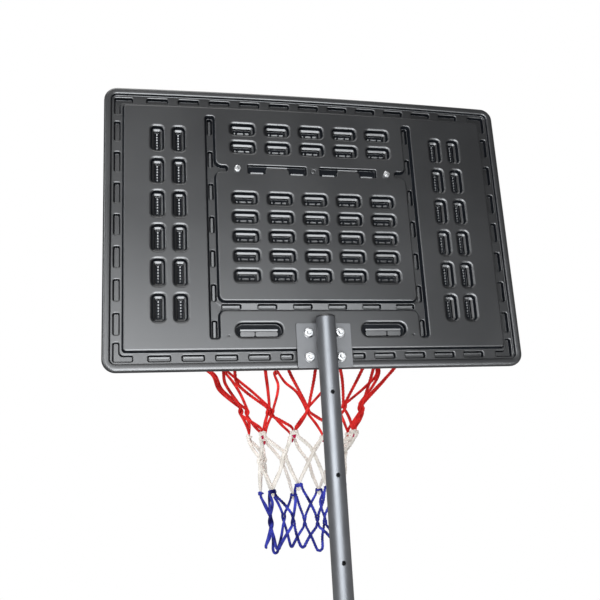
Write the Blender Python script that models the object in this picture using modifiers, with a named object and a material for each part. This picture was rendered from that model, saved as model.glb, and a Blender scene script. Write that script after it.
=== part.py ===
"""Portable basketball hoop: moulded backboard, rim and net on a telescoping pole over a wheeled tank."""
import math

import bmesh
import bpy
from mathutils import Matrix, Vector

# Driving dimensions in metres. +X is right as seen from the court, the court lies towards -Y, +Z is up.
# The origin is on the floor, on the pole's axis.
GAP = 0.0003

BOARD_WIDTH = 0.720
BOARD_HEIGHT = 0.497
BOARD_CROWN = 0.005
BOARD_CORNER = 0.022
BOARD_THICK = 0.020
BOARD_BOTTOM = 1.630
LIP_DROP = 0.0015
CHANNEL_FLOOR = 0.008
PLATEAU_INSET = 0.035

UPPER_RADIUS = 0.016
LOWER_RADIUS = 0.019
TUBE_WALL = 0.0016
UPPER_BOTTOM = 0.807
UPPER_TOP = 1.7115
MIDDLE_BOTTOM = 0.480
MIDDLE_TOP = 1.210
BOTTOM_TUBE_BOTTOM = 0.030
SWAGE_TOP = 0.560
HOLE_PITCH = 0.130
HOLE_TOP = BOARD_BOTTOM - 0.044
HOLE_COUNT = 6
HOLE_RADIUS = 0.0035
LOCK_HEIGHT = HOLE_TOP - 3 * HOLE_PITCH

PLATE_THICK = 0.003
PLATE_HALF_WIDTH = 0.047
PLATE_LOW = BOARD_BOTTOM + 0.0006
PLATE_HIGH = BOARD_BOTTOM + 0.076
BOLT_X = 0.027
BOLT_HEIGHTS = (BOARD_BOTTOM + 0.018, BOARD_BOTTOM + 0.059)

BOARD_REAR = -(UPPER_RADIUS + PLATE_THICK + 2 * GAP)
BOARD_FRONT = BOARD_REAR - BOARD_THICK
BOARD_PARTING = BOARD_REAR - BOARD_THICK / 2

RIM_RADIUS = 0.195
RIM_TUBE = 0.008
RIM_Y = BOARD_PARTING - 0.227
RIM_Z = BOARD_BOTTOM + 0.088
NET_HOOKS = 10
HOOK_WIRE = 0.002
HOOK_LOW = RIM_Z - 0.0235
FIN_X = 0.042

STAY_BOARD_X = 0.135
STAY_BOARD_Z = BOARD_BOTTOM + 0.351
STAY_RADIUS = 0.004
LUG_INNER_X = RIM_RADIUS + RIM_TUBE - 0.0015
LUG_THICK = 0.003
LUG_HOLE_Z = RIM_Z + 0.014

NET_CORD = 0.0048
# Rows of net knots from the hooks down: height above the board's bottom edge, and radius.
NET_ROWS = ((0.0760, 0.1975), (-0.040, 0.118), (-0.086, 0.104), (-0.130, 0.085),
            (-0.191, 0.085), (-0.245, 0.070), (-0.306, 0.079))

TANK_HALF_WIDTH = 0.260
TANK_FRONT = -0.165
TANK_REAR = 0.480
TANK_HEIGHT = 0.140
TANK_CORNER = 0.070
SOCKET_RADIUS = 0.044
SOCKET_TOP = 0.172
WHEEL_RADIUS = 0.034
WHEEL_WIDTH = 0.024
WHEEL_X = 0.2205
WHEEL_Y = -0.150
WHEEL_Z = 0.038
WELL_INNER_X = 0.207
AXLE_RADIUS = 0.004
FILLER_Y = 0.300
FILLER_BORE = 0.020
FILLER_BOSS_TOP = 0.146
STRUT_RADIUS = 0.008
STRUT_TOP_Z = 0.425
STRUT_FOOT = (0.170, 0.365)


def clear_scene():
    """Remove whatever objects the scene holds."""
    for item in list(bpy.data.objects):
        bpy.data.objects.remove(item, do_unlink=True)


def make_collection(name):
    """Add a collection to the scene."""
    group = bpy.data.collections.new(name)
    bpy.context.scene.collection.children.link(group)
    return group


def make_material(name, color, roughness, metallic=0.0):
    """Make a plain Principled finish."""
    finish = bpy.data.materials.new(name)
    finish.use_nodes = True
    shader = finish.node_tree.nodes["Principled BSDF"]
    shader.inputs["Base Color"].default_value = (*color, 1.0)
    shader.inputs["Roughness"].default_value = roughness
    shader.inputs["Metallic"].default_value = metallic
    return finish


clear_scene()
PARTS = make_collection("portable_basketball_hoop")
CUTTERS = make_collection("cutters")

BLACK_PLASTIC = make_material("black_plastic", (0.030, 0.031, 0.033), 0.42)
GREY_PAINT = make_material("grey_paint", (0.16, 0.165, 0.175), 0.38, 0.3)
ZINC = make_material("zinc", (0.78, 0.79, 0.80), 0.25, 1.0)
RED_PAINT = make_material("red_paint", (0.62, 0.05, 0.03), 0.35)
TYRE_PLASTIC = make_material("tyre_plastic", (0.05, 0.05, 0.052), 0.6)
SEAL_RUBBER = make_material("seal_rubber", (0.03, 0.03, 0.03), 0.8)
NET_BANDS = (make_material("net_red", (0.64, 0.02, 0.02), 0.8),
             make_material("net_white", (0.72, 0.69, 0.64), 0.8),
             make_material("net_blue", (0.04, 0.05, 0.33), 0.8))


def add_object(name, mesh, finish):
    """Place a mesh in the parts collection, or in the cutters when it has no finish."""
    piece = bpy.data.objects.new(name, mesh)
    if finish is None:
        CUTTERS.objects.link(piece)
        piece.hide_render = True
        piece.display_type = "WIRE"
    else:
        PARTS.objects.link(piece)
        mesh.materials.append(finish)
    return piece


def finish_mesh(work, name):
    """Turn a working mesh into mesh data with its faces pointing out."""
    bmesh.ops.recalc_face_normals(work, faces=work.faces)
    mesh = bpy.data.meshes.new(name)
    work.to_mesh(mesh)
    work.free()
    mesh.shade_smooth()
    mesh.set_sharp_from_angle(angle=math.radians(35))
    return mesh


def add_loft(work, loops, ring=False):
    """Bridge loops of equal length into one closed skin, capped at both ends or joined as a ring."""
    rings = [[work.verts.new(point) for point in loop] for loop in loops]
    pairs = list(zip(rings, rings[1:]))
    if ring:
        pairs.append((rings[-1], rings[0]))
    else:
        work.faces.new(rings[0])
        work.faces.new(rings[-1])
    for first, second in pairs:
        for index, corner in enumerate(first):
            after = (index + 1) % len(first)
            work.faces.new((corner, first[after], second[after], second[index]))


def lofted(name, loops, finish, ring=False, matrix=None):
    """Make one lofted piece."""
    work = bmesh.new()
    add_loft(work, loops, ring)
    piece = add_object(name, finish_mesh(work, name), finish)
    if matrix is not None:
        piece.matrix_world = matrix
    return piece


def turned(name, profile, finish, matrix, steps=20, ring=False):
    """Turn an outline of (radius, height) about local Z. The outline runs down its outer side."""
    work = bmesh.new()
    points = [work.verts.new((radius, 0.0, height)) for radius, height in profile]
    for first, second in zip(points, points[1:]):
        work.edges.new((first, second))
    if ring:
        work.edges.new((points[-1], points[0]))
    mesh = bpy.data.meshes.new(name)
    work.to_mesh(mesh)
    work.free()
    piece = add_object(name, mesh, finish)
    piece.matrix_world = matrix
    turn = piece.modifiers.new("turn", "SCREW")
    turn.steps = steps
    turn.render_steps = steps
    turn.use_merge_vertices = True
    turn.merge_threshold = 0.00001
    return piece


def combine(piece, other, operation="DIFFERENCE", overlapping=False):
    """Cut a cutter out of a piece, or join it on."""
    change = piece.modifiers.new(other.name, "BOOLEAN")
    change.operation = operation
    change.solver = "EXACT"
    change.use_self = overlapping
    change.object = other


def along(axis, place):
    """Matrix that lays local Z along +X, +Y, -Y or +Z at a place."""
    turns = {
        "X": Matrix.Rotation(math.pi / 2, 4, "Y"),
        "-X": Matrix.Rotation(-math.pi / 2, 4, "Y"),
        "Y": Matrix.Rotation(-math.pi / 2, 4, "X"),
        "-Y": Matrix.Rotation(math.pi / 2, 4, "X"),
        "Z": Matrix.Identity(4),
    }
    return Matrix.Translation(Vector(place)) @ turns[axis]


def drill(piece, name, radius, length, axis, places, sides=12):
    """Drill straight holes of one size, centred on each place."""
    work = bmesh.new()
    for place in places:
        bmesh.ops.create_cone(work, cap_ends=True, segments=sides, radius1=radius, radius2=radius,
                              depth=length, matrix=along(axis, place))
    combine(piece, add_object(name, finish_mesh(work, name), None))


def rounded_loop(half_width, half_height, radius, steps):
    """Corner arcs of a rounded rectangle in its own plane, counter-clockwise."""
    loop = []
    corners = ((1, 1, 0), (-1, 1, 90), (-1, -1, 180), (1, -1, 270))
    for side_x, side_y, start in corners:
        center_x = side_x * (half_width - radius)
        center_y = side_y * (half_height - radius)
        for step in range(steps + 1):
            angle = math.radians(start + 90 * step / steps)
            loop.append((center_x + radius * math.cos(angle), center_y + radius * math.sin(angle)))
    return loop


def round_loop(radius, height, sides=12, across_flats=None):
    """A circle, or a hexagon where across_flats is given, at a height along local Z."""
    loop = []
    for index in range(sides):
        angle = 2 * math.pi * index / sides
        reach = radius
        if across_flats is not None:
            reach = across_flats / 2 / math.cos(angle % (math.pi / 3) - math.pi / 6)
        loop.append((reach * math.cos(angle), reach * math.sin(angle), height))
    return loop


# Fasteners.

def domed_bolt(name, shank_radius, head_radius, head_height, length, matrix, finish=ZINC):
    """A round domed head above local Z 0 and a plain shank below it."""
    profile = [(0.0, head_height), (head_radius * 0.7, head_height * 0.75), (head_radius, 0.0),
               (shank_radius, 0.0), (shank_radius, -length), (0.0, -length)]
    return turned(name, profile, finish, matrix, steps=10)


def hex_bolt(name, shank_radius, across_flats, head_height, length, matrix):
    """A hexagon head above local Z 0 and a plain shank below it."""
    loops = [round_loop(0, head_height, across_flats=across_flats),
             round_loop(0, 0.0, across_flats=across_flats),
             round_loop(shank_radius, 0.0),
             round_loop(shank_radius, -length)]
    return lofted(name, loops, ZINC, matrix=matrix)


def hex_nut(name, bore_radius, across_flats, height, matrix, flange_radius=None):
    """A hexagon nut that stands on local Z 0, with a round flange where one is given."""
    loops = [round_loop(bore_radius, 0.0)]
    if flange_radius is None:
        loops.append(round_loop(0, 0.0, across_flats=across_flats))
    else:
        loops += [round_loop(flange_radius, 0.0), round_loop(0, 0.0022, across_flats=across_flats)]
    loops += [round_loop(0, height, across_flats=across_flats), round_loop(bore_radius, height)]
    return lofted(name, loops, ZINC, ring=True, matrix=matrix)


# Backboard.

def board_top(x):
    """Height of the crowned top edge at x."""
    return BOARD_BOTTOM + BOARD_HEIGHT + BOARD_CROWN * (1 - (2 * x / BOARD_WIDTH) ** 2)


def board_loop(inset, radius, y):
    """The board's outline drawn in by inset, with extra points along the crowned top."""
    top_steps = 6
    half_width = BOARD_WIDTH / 2 - inset
    half_height = BOARD_HEIGHT / 2 - inset
    outline = rounded_loop(half_width, half_height, radius, 4)
    corner_points = len(outline) // 4
    run = half_width - radius
    top_edge = [(run - 2 * run * step / top_steps, half_height) for step in range(1, top_steps)]
    outline = outline[:corner_points] + top_edge + outline[corner_points:]
    loop = []
    for x, z in outline:
        lift = board_top(x) - BOARD_BOTTOM - BOARD_HEIGHT if z > 0 else 0.0
        loop.append((x, y, BOARD_BOTTOM + BOARD_HEIGHT / 2 + z + lift))
    return loop


def slot_cutter(name, slots, face_y, depth, draft, steps):
    """One cutter of rounded blocks that taper by draft from the rear face to their floor."""
    work = bmesh.new()
    for x, z, width, height, radius in slots:
        loops = []
        for y, inset in ((face_y + 0.002, 0.0), (face_y, 0.0), (face_y - depth, draft)):
            outline = rounded_loop(width / 2 - inset, height / 2 - inset, radius - inset, steps)
            loops.append([(x + across, y, z + up) for across, up in outline])
        add_loft(work, loops)
    return add_object(name, finish_mesh(work, name), None)


def corner_cutter(face_y, depth):
    """L-shaped pockets in the four corners of the edge channel."""
    near, far, width = 0.0185, 0.049, 0.011
    outline = ((near, near), (far, near), (far, near + width), (near + width, near + width),
               (near + width, far), (near, far))
    work = bmesh.new()
    for side_x in (-1, 1):
        for at_top in (False, True):
            loops = []
            for y in (face_y + 0.002, face_y - depth):
                loop = []
                for inset_x, inset_z in outline:
                    x = side_x * (BOARD_WIDTH / 2 - inset_x)
                    z = board_top(x) - inset_z if at_top else BOARD_BOTTOM + inset_z
                    loop.append((x, y, z))
                loops.append(loop)
            add_loft(work, loops)
    return add_object("corner_pockets", finish_mesh(work, "corner_pockets"), None)


def edge_dashes():
    """Short pockets in the floor of the channel that runs round the board."""
    pitch, length, width = 0.054, 0.036, 0.0105
    slots = []
    for step in range(-5, 6):
        x = step * pitch
        slots.append((x, board_top(x) - 0.0223, length, width, 0.005))
        slots.append((x, BOARD_BOTTOM + 0.0223, length, width, 0.005))
    for step in range(-3, 4):
        z = BOARD_BOTTOM + 0.248 + 0.0563 * step
        for side in (-1, 1):
            slots.append((side * (BOARD_WIDTH / 2 - 0.0237), z, 0.012, length, 0.005))
    return slots


def channel_slots():
    """The two upright channels, the lower cross channel and the two stubs of the upper one."""
    upright_x, width = 0.1805, 0.018
    slots = []
    for side in (-1, 1):
        slots.append((side * upright_x, BOARD_BOTTOM + 0.251, width, 0.404, 0.0085))
        slots.append((side * 0.1655, BOARD_BOTTOM + 0.352, 0.034, width, 0.0085))
    slots.append((0.0, BOARD_BOTTOM + 0.106, 2 * upright_x, 0.016, 0.0075))
    return slots


def channel_dashes():
    """Deeper pockets in the floors of the channels."""
    slots = []
    for side in (-1, 1):
        for height in (0.069, 0.131, 0.1905, 0.251, 0.311, 0.371, 0.432):
            slots.append((side * 0.1805, BOARD_BOTTOM + height, 0.012, 0.032, 0.005))
        for x in (0.0304, 0.0913, 0.152):
            slots.append((side * x, BOARD_BOTTOM + 0.106, 0.033, 0.010, 0.0045))
        slots.append((side * 0.0635, BOARD_BOTTOM + 0.356, 0.104, 0.008, 0.0035))
        slots.append((side * 0.1076, BOARD_BOTTOM + 0.066, 0.066, 0.012, 0.0055))
    return slots


def long_recesses():
    """The two long recesses of the upper cross channel and the two ovals beside the pole plate."""
    slots = []
    for side in (-1, 1):
        slots.append((side * 0.0635, BOARD_BOTTOM + 0.352, 0.111, 0.018, 0.006))
        slots.append((side * 0.1076, BOARD_BOTTOM + 0.066, 0.085, 0.030, 0.0145))
    return slots


def tack_pockets(wide, tall, radius):
    """Stiffening pockets: a wide grid over the middle panels, and upright pairs on both side panels."""
    slots = []
    rows = [0.4278, 0.3935] + [0.2979 - 0.0347 * row for row in range(5)]
    for column in range(-2, 3):
        for row in rows:
            slots.append((column * 0.06175, BOARD_BOTTOM + row, wide, tall, radius))
    for side in (-1, 1):
        for x in (0.2347, 0.2709):
            for row in range(6):
                slots.append((side * x, BOARD_BOTTOM + 0.4036 - 0.0599 * row, tall, wide + 0.003, radius))
    return slots


def make_backboard():
    """Blow-moulded board: a raised lip and edge channel round a plateau full of stepped pockets."""
    rear = BOARD_REAR
    sections = ((0.012, 0.012, BOARD_FRONT), (0.004, 0.019, BOARD_FRONT + 0.0015),
                (0.0, BOARD_CORNER, BOARD_FRONT + 0.006), (0.0, BOARD_CORNER, BOARD_PARTING),
                (0.0015, 0.021, rear - 0.005), (0.0045, 0.019, rear - LIP_DROP),
                (0.009, 0.016, rear - LIP_DROP), (0.0145, 0.012, rear - CHANNEL_FLOOR + 0.0006),
                (0.016, 0.011, rear - CHANNEL_FLOOR), (0.032, 0.012, rear - CHANNEL_FLOOR),
                (PLATEAU_INSET, 0.010, rear))
    board = lofted("backboard", [board_loop(*section) for section in sections], BLACK_PLASTIC)
    combine(board, slot_cutter("edge_dash_cutter", edge_dashes(), rear - CHANNEL_FLOOR, 0.005, 0.0012, 1))
    combine(board, corner_cutter(rear - CHANNEL_FLOOR, 0.005))
    combine(board, slot_cutter("channel_cutter", channel_slots(), rear, 0.005, 0.001, 2), overlapping=True)
    combine(board, slot_cutter("recess_cutter", long_recesses(), rear, 0.0055, 0.001, 3))
    combine(board, slot_cutter("channel_dash_cutter", channel_dashes(), rear, 0.0105, 0.0015, 1))
    combine(board, slot_cutter("pocket_cutter", tack_pockets(0.049, 0.028, 0.009), rear, 0.006, 0.002, 1))
    combine(board, slot_cutter("well_cutter", tack_pockets(0.038, 0.016, 0.005), rear, 0.015, 0.0012, 1))
    middle = (BOARD_FRONT + BOARD_REAR) / 2
    bolt_places = [(side * BOLT_X, middle, z) for side in (-1, 1) for z in BOLT_HEIGHTS]
    drill(board, "board_bolt_holes", 0.0044, 0.06, "Y", bolt_places)
    stay_places = [(side * STAY_BOARD_X, middle, STAY_BOARD_Z) for side in (-1, 1)]
    drill(board, "board_stay_holes", 0.0034, 0.06, "Y", stay_places)


def make_rear_bracket():
    """Flat steel plate welded to the pole and bolted to the back of the board."""
    half_height = (PLATE_HIGH - PLATE_LOW) / 2
    outline = rounded_loop(PLATE_HALF_WIDTH, half_height, 0.004, 2)
    slim = rounded_loop(PLATE_HALF_WIDTH - 0.0006, half_height - 0.0006, 0.0034, 2)
    low = BOARD_REAR + GAP
    high = low + PLATE_THICK
    sections = ((outline, low), (outline, high - 0.0006), (slim, high))
    middle = (PLATE_LOW + PLATE_HIGH) / 2
    loops = [[(x, y, middle + z) for x, z in shape] for shape, y in sections]
    plate = lofted("rear_bracket", loops, GREY_PAINT)
    places = [(side * BOLT_X, low, z) for side in (-1, 1) for z in BOLT_HEIGHTS]
    drill(plate, "bracket_holes", 0.0044, 0.03, "Y", places)


def make_board_fasteners():
    """Four bolts from the rim's bracket through the board and the rear plate, with flanged nuts."""
    head_y = BOARD_FRONT - PLATE_THICK - 2 * GAP
    nut_y = BOARD_REAR + PLATE_THICK + 2 * GAP
    number = 0
    for z in BOLT_HEIGHTS:
        for side in (-1, 1):
            number += 1
            x = side * BOLT_X
            domed_bolt(f"board_bolt_{number}", 0.0039, 0.0085, 0.0045, nut_y + 0.0105 - head_y,
                       along("-Y", (x, head_y, z)))
            hex_nut(f"board_nut_{number}", 0.0042, 0.013, 0.0075, along("Y", (x, nut_y, z)), 0.0085)


# Rim and stays.

def hook_tube(center, spoke):
    """One wire hook under the ring: down from the ring, round, and up on its outer side."""
    hook_points = ((-0.002, RIM_Z - 0.005), (-0.0062, HOOK_LOW + 0.007), (-0.0028, HOOK_LOW),
                   (0.004, HOOK_LOW), (0.0083, HOOK_LOW + 0.006))
    data = bpy.data.curves.new("hook", "CURVE")
    data.dimensions = "3D"
    data.bevel_depth = HOOK_WIRE
    data.bevel_resolution = 0
    data.use_fill_caps = True
    wire = data.splines.new("POLY")
    wire.points.add(len(hook_points) - 1)
    for point, (out, height) in zip(wire.points, hook_points):
        place = center + spoke * (RIM_RADIUS + out)
        point.co = (place.x, place.y, height, 1.0)
    return data


def make_rim_ring():
    """Round steel ring with wire hooks for the net below it and a lug for each stay on its sides."""
    center = Vector((0.0, RIM_Y, 0.0))
    bpy.ops.mesh.primitive_torus_add(major_segments=40, minor_segments=8, major_radius=RIM_RADIUS,
                                     minor_radius=RIM_TUBE, location=(0.0, RIM_Y, RIM_Z))
    ring = bpy.context.object
    ring.name = "rim_ring"
    ring.data.materials.append(RED_PAINT)
    ring.data.shade_smooth()
    for group in list(ring.users_collection):
        group.objects.unlink(ring)
    PARTS.objects.link(ring)
    hooks = bmesh.new()
    for index in range(NET_HOOKS):
        angle = 2 * math.pi * (index + 0.5) / NET_HOOKS
        data = hook_tube(center, Vector((math.cos(angle), math.sin(angle), 0.0)))
        wire = bpy.data.objects.new("hook", data)
        CUTTERS.objects.link(wire)
        solid = wire.evaluated_get(bpy.context.evaluated_depsgraph_get())
        mesh = bpy.data.meshes.new_from_object(solid)
        hooks.from_mesh(mesh)
        bpy.data.objects.remove(wire)
        bpy.data.meshes.remove(mesh)
    bmesh.ops.remove_doubles(hooks, verts=hooks.verts, dist=0.00001)
    combine(ring, add_object("net_hooks", finish_mesh(hooks, "net_hooks"), None), "UNION")
    lugs = bmesh.new()
    for side in (-1, 1):
        middle = side * (LUG_INNER_X + LUG_THICK / 2)
        outline = rounded_loop(0.009, 0.017, 0.008, 3)
        loops = []
        for x in (middle - LUG_THICK / 2, middle + LUG_THICK / 2):
            loops.append([(x, RIM_Y + across, RIM_Z + 0.0085 + up) for across, up in outline])
        add_loft(lugs, loops)
    combine(ring, add_object("stay_lugs", finish_mesh(lugs, "stay_lugs"), None), "UNION")
    places = [(side * LUG_INNER_X, RIM_Y, LUG_HOLE_Z) for side in (-1, 1)]
    drill(ring, "lug_holes", 0.0034, 0.02, "X", places)


def make_rim_bracket():
    """Steel plate on the board's front with two upright fins that carry the ring."""
    rear = BOARD_FRONT - GAP
    front = rear - PLATE_THICK
    low, high = BOARD_BOTTOM + 0.006, RIM_Z + 0.010
    middle = (low + high) / 2
    outline = rounded_loop(0.058, (high - low) / 2, 0.006, 2)
    loops = [[(x, y, middle + z) for x, z in outline] for y in (rear, front)]
    bracket = lofted("rim_bracket", loops, RED_PAINT)
    seat = RIM_Z - RIM_TUBE - GAP
    tip = RIM_Y + math.sqrt(RIM_RADIUS ** 2 - FIN_X ** 2) - RIM_TUBE - 0.005
    side_view = ((front + 0.001, low + 0.012), (front + 0.001, seat), (tip, seat), (tip, seat - 0.009))
    fins = bmesh.new()
    for side in (-1, 1):
        loops = []
        for x in (side * FIN_X - PLATE_THICK / 2, side * FIN_X + PLATE_THICK / 2):
            loops.append([(x, y, z) for y, z in side_view])
        add_loft(fins, loops)
    combine(bracket, add_object("rim_fins", finish_mesh(fins, "rim_fins"), None), "UNION")
    places = [(side * BOLT_X, front, z) for side in (-1, 1) for z in BOLT_HEIGHTS]
    drill(bracket, "rim_bracket_holes", 0.0044, 0.03, "Y", places)


def flattened_rod(name, stations, finish, sides=8):
    """Round rod pressed flat at its ends: each station has a place, run, flat normal and half sizes."""
    loops = []
    guide = Vector((0.31, 0.17, 0.93))
    for place, run, normal, half_width, half_thick in stations:
        run = Vector(run).normalized()
        thin = Vector(normal).normalized()
        wide = thin.cross(run).normalized()
        thin = run.cross(wide).normalized()
        first = (guide - run * guide.dot(run)).normalized()
        second = run.cross(first)
        loop = []
        for index in range(sides):
            angle = 2 * math.pi * index / sides
            spoke = first * math.cos(angle) + second * math.sin(angle)
            offset = wide * spoke.dot(wide) * half_width + thin * spoke.dot(thin) * half_thick
            loop.append(Vector(place) + offset)
        loops.append(loop)
    return lofted(name, loops, finish)


def bolted_rod(name, start, start_normal, end, end_normal, radius, finish):
    """A rod between two bolt places, flattened round each bolt and bent away to its straight run."""
    start, end = Vector(start), Vector(end)
    start_normal, end_normal = Vector(start_normal), Vector(end_normal)
    whole = (end - start).normalized()
    first = (whole - start_normal * whole.dot(start_normal)).normalized()
    last = (whole - end_normal * whole.dot(end_normal)).normalized()
    wide, thin = radius * 1.45, 0.0016
    bend_start = start + first * radius * 4.5 + start_normal * radius * 0.7
    bend_end = end - last * radius * 4.5 + end_normal * radius * 0.7
    run = (bend_end - bend_start).normalized()
    stations = (
        (start - first * radius * 1.6, first, start_normal, wide * 0.72, thin),
        (start - first * radius * 0.9, first, start_normal, wide, thin),
        (start + first * radius * 1.8, first, start_normal, wide, thin),
        (bend_start, first + run, start_normal, radius, radius),
        (bend_start + run * radius * 2, run, start_normal, radius, radius),
        (bend_end - run * radius * 2, run, end_normal, radius, radius),
        (bend_end, last + run, end_normal, radius, radius),
        (end - last * radius * 1.8, last, end_normal, wide, thin),
        (end + last * radius * 0.9, last, end_normal, wide, thin),
        (end + last * radius * 1.6, last, end_normal, wide * 0.72, thin),
    )
    return flattened_rod(name, stations, finish)


def make_stays():
    """Two steel stays from lugs on the ring up to the board, each bolted at both ends."""
    flat = 0.0016
    board_y = BOARD_FRONT - GAP - flat
    nut_y = BOARD_REAR + GAP
    for side, word in ((-1, "left"), (1, "right")):
        lug_x = side * (LUG_INNER_X + LUG_THICK + GAP + flat)
        top = (side * STAY_BOARD_X, board_y, STAY_BOARD_Z)
        foot = (lug_x, RIM_Y, LUG_HOLE_Z)
        stay = bolted_rod(f"rim_stay_{word}", top, (0, -1, 0), foot, (side, 0, 0), STAY_RADIUS, RED_PAINT)
        drill(stay, f"stay_board_hole_{word}", 0.0034, 0.012, "Y", [top])
        drill(stay, f"stay_ring_hole_{word}", 0.0034, 0.012, "X", [foot])
        head_y = board_y - flat - GAP
        domed_bolt(f"stay_board_bolt_{word}", 0.0029, 0.006, 0.0035, nut_y + 0.0075 - head_y,
                   along("-Y", (top[0], head_y, STAY_BOARD_Z)))
        hex_nut(f"stay_board_nut_{word}", 0.0032, 0.010, 0.0052, along("Y", (top[0], nut_y, STAY_BOARD_Z)))
        out, back = ("X", "-X") if side > 0 else ("-X", "X")
        head_x = lug_x + side * (flat + GAP)
        nut_x = side * (LUG_INNER_X - GAP)
        domed_bolt(f"stay_ring_bolt_{word}", 0.0029, 0.0055, 0.0035, abs(head_x - nut_x) + 0.0065,
                   along(out, (head_x, RIM_Y, LUG_HOLE_Z)))
        hex_nut(f"stay_ring_nut_{word}", 0.0032, 0.010, 0.0052, along(back, (nut_x, RIM_Y, LUG_HOLE_Z)))


# Net.

def make_net():
    """Knotted net: rows of diamonds between hooks and tips, in a red, a white and a blue band."""
    work = bmesh.new()
    rows = []
    for number, (height, radius) in enumerate(NET_ROWS):
        row = []
        shift = (number + 1) % 2
        for index in range(NET_HOOKS):
            angle = 2 * math.pi * (index + 0.5 * shift) / NET_HOOKS
            row.append(work.verts.new((radius * math.cos(angle), RIM_Y + radius * math.sin(angle),
                                       BOARD_BOTTOM + height)))
        rows.append(row)
    for number in range(len(rows) - 2):
        top, middle, bottom = rows[number:number + 3]
        shift = (number + 1) % 2
        for index in range(NET_HOOKS):
            first = middle[(index + shift - 1) % NET_HOOKS]
            second = middle[(index + shift) % NET_HOOKS]
            work.faces.new((top[index], first, bottom[index], second))
    net = add_object("net", finish_mesh(work, "net"), NET_BANDS[0])
    cords = net.modifiers.new("cords", "WIREFRAME")
    cords.thickness = NET_CORD
    cords.use_boundary = True
    cords.use_even_offset = False
    solid = net.evaluated_get(bpy.context.evaluated_depsgraph_get())
    mesh = bpy.data.meshes.new_from_object(solid)
    net.modifiers.clear()
    net.data = mesh
    for band in NET_BANDS[1:]:
        mesh.materials.append(band)
    limits = (BOARD_BOTTOM + NET_ROWS[2][0], BOARD_BOTTOM + NET_ROWS[4][0])
    for face in mesh.polygons:
        face.material_index = sum(face.center.z < limit for limit in limits)


# Pole.

def make_upper_tube():
    """Telescoping top tube with a row of height holes, and its plastic end cap."""
    inner = UPPER_RADIUS - TUBE_WALL
    profile = [(UPPER_RADIUS, UPPER_TOP), (UPPER_RADIUS, UPPER_BOTTOM),
               (inner, UPPER_BOTTOM), (inner, UPPER_TOP)]
    tube = turned("upper_pole_tube", profile, GREY_PAINT, Matrix.Identity(4), ring=True)
    places = [(0.0, 0.0, HOLE_TOP - HOLE_PITCH * step) for step in range(HOLE_COUNT)]
    drill(tube, "height_holes", HOLE_RADIUS, 0.06, "Y", places, sides=8)
    plug = inner - GAP
    flange = UPPER_RADIUS
    low = UPPER_TOP + GAP
    cap = [(0.0, low + 0.0045), (flange * 0.75, low + 0.0038), (flange, low), (plug, low),
           (plug, low - 0.016), (0.0, low - 0.016)]
    turned("pole_top_cap", cap, BLACK_PLASTIC, Matrix.Identity(4))


def make_lower_tubes():
    """Middle tube, and the bottom tube whose swaged neck plugs into it, held by one bolt."""
    inner = LOWER_RADIUS - 0.0015
    profile = [(LOWER_RADIUS, MIDDLE_TOP), (LOWER_RADIUS, MIDDLE_BOTTOM),
               (inner, MIDDLE_BOTTOM), (inner, MIDDLE_TOP)]
    middle = turned("middle_pole_tube", profile, GREY_PAINT, Matrix.Identity(4), ring=True)
    neck = inner - GAP
    shoulder = MIDDLE_BOTTOM - GAP
    profile = [(neck, SWAGE_TOP), (neck, shoulder + 0.001), (LOWER_RADIUS, shoulder - 0.010),
               (LOWER_RADIUS, BOTTOM_TUBE_BOTTOM), (inner, BOTTOM_TUBE_BOTTOM), (inner, shoulder - 0.012),
               (neck - 0.0015, shoulder), (neck - 0.0015, SWAGE_TOP)]
    bottom = turned("bottom_pole_tube", profile, GREY_PAINT, Matrix.Identity(4), ring=True)
    joint_z = (MIDDLE_BOTTOM + SWAGE_TOP) / 2
    drill(middle, "middle_joint_hole", 0.0034, 0.06, "Y", [(0.0, 0.0, joint_z)], sides=10)
    drill(bottom, "bottom_joint_hole", 0.0034, 0.06, "Y", [(0.0, 0.0, joint_z)], sides=10)
    drill(middle, "lock_hole", 0.0044, 0.03, "Y", [(0.0, LOWER_RADIUS, LOCK_HEIGHT)], sides=10)
    drill(bottom, "strut_hole", 0.0034, 0.06, "X", [(0.0, 0.0, STRUT_TOP_Z)], sides=10)
    seat = LOWER_RADIUS + GAP
    hex_bolt("pole_joint_bolt", 0.003, 0.010, 0.004, 2 * seat + 0.009, along("Y", (0.0, seat, joint_z)))
    hex_nut("pole_joint_nut", 0.0033, 0.010, 0.005, along("-Y", (0.0, -seat, joint_z)))


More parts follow.
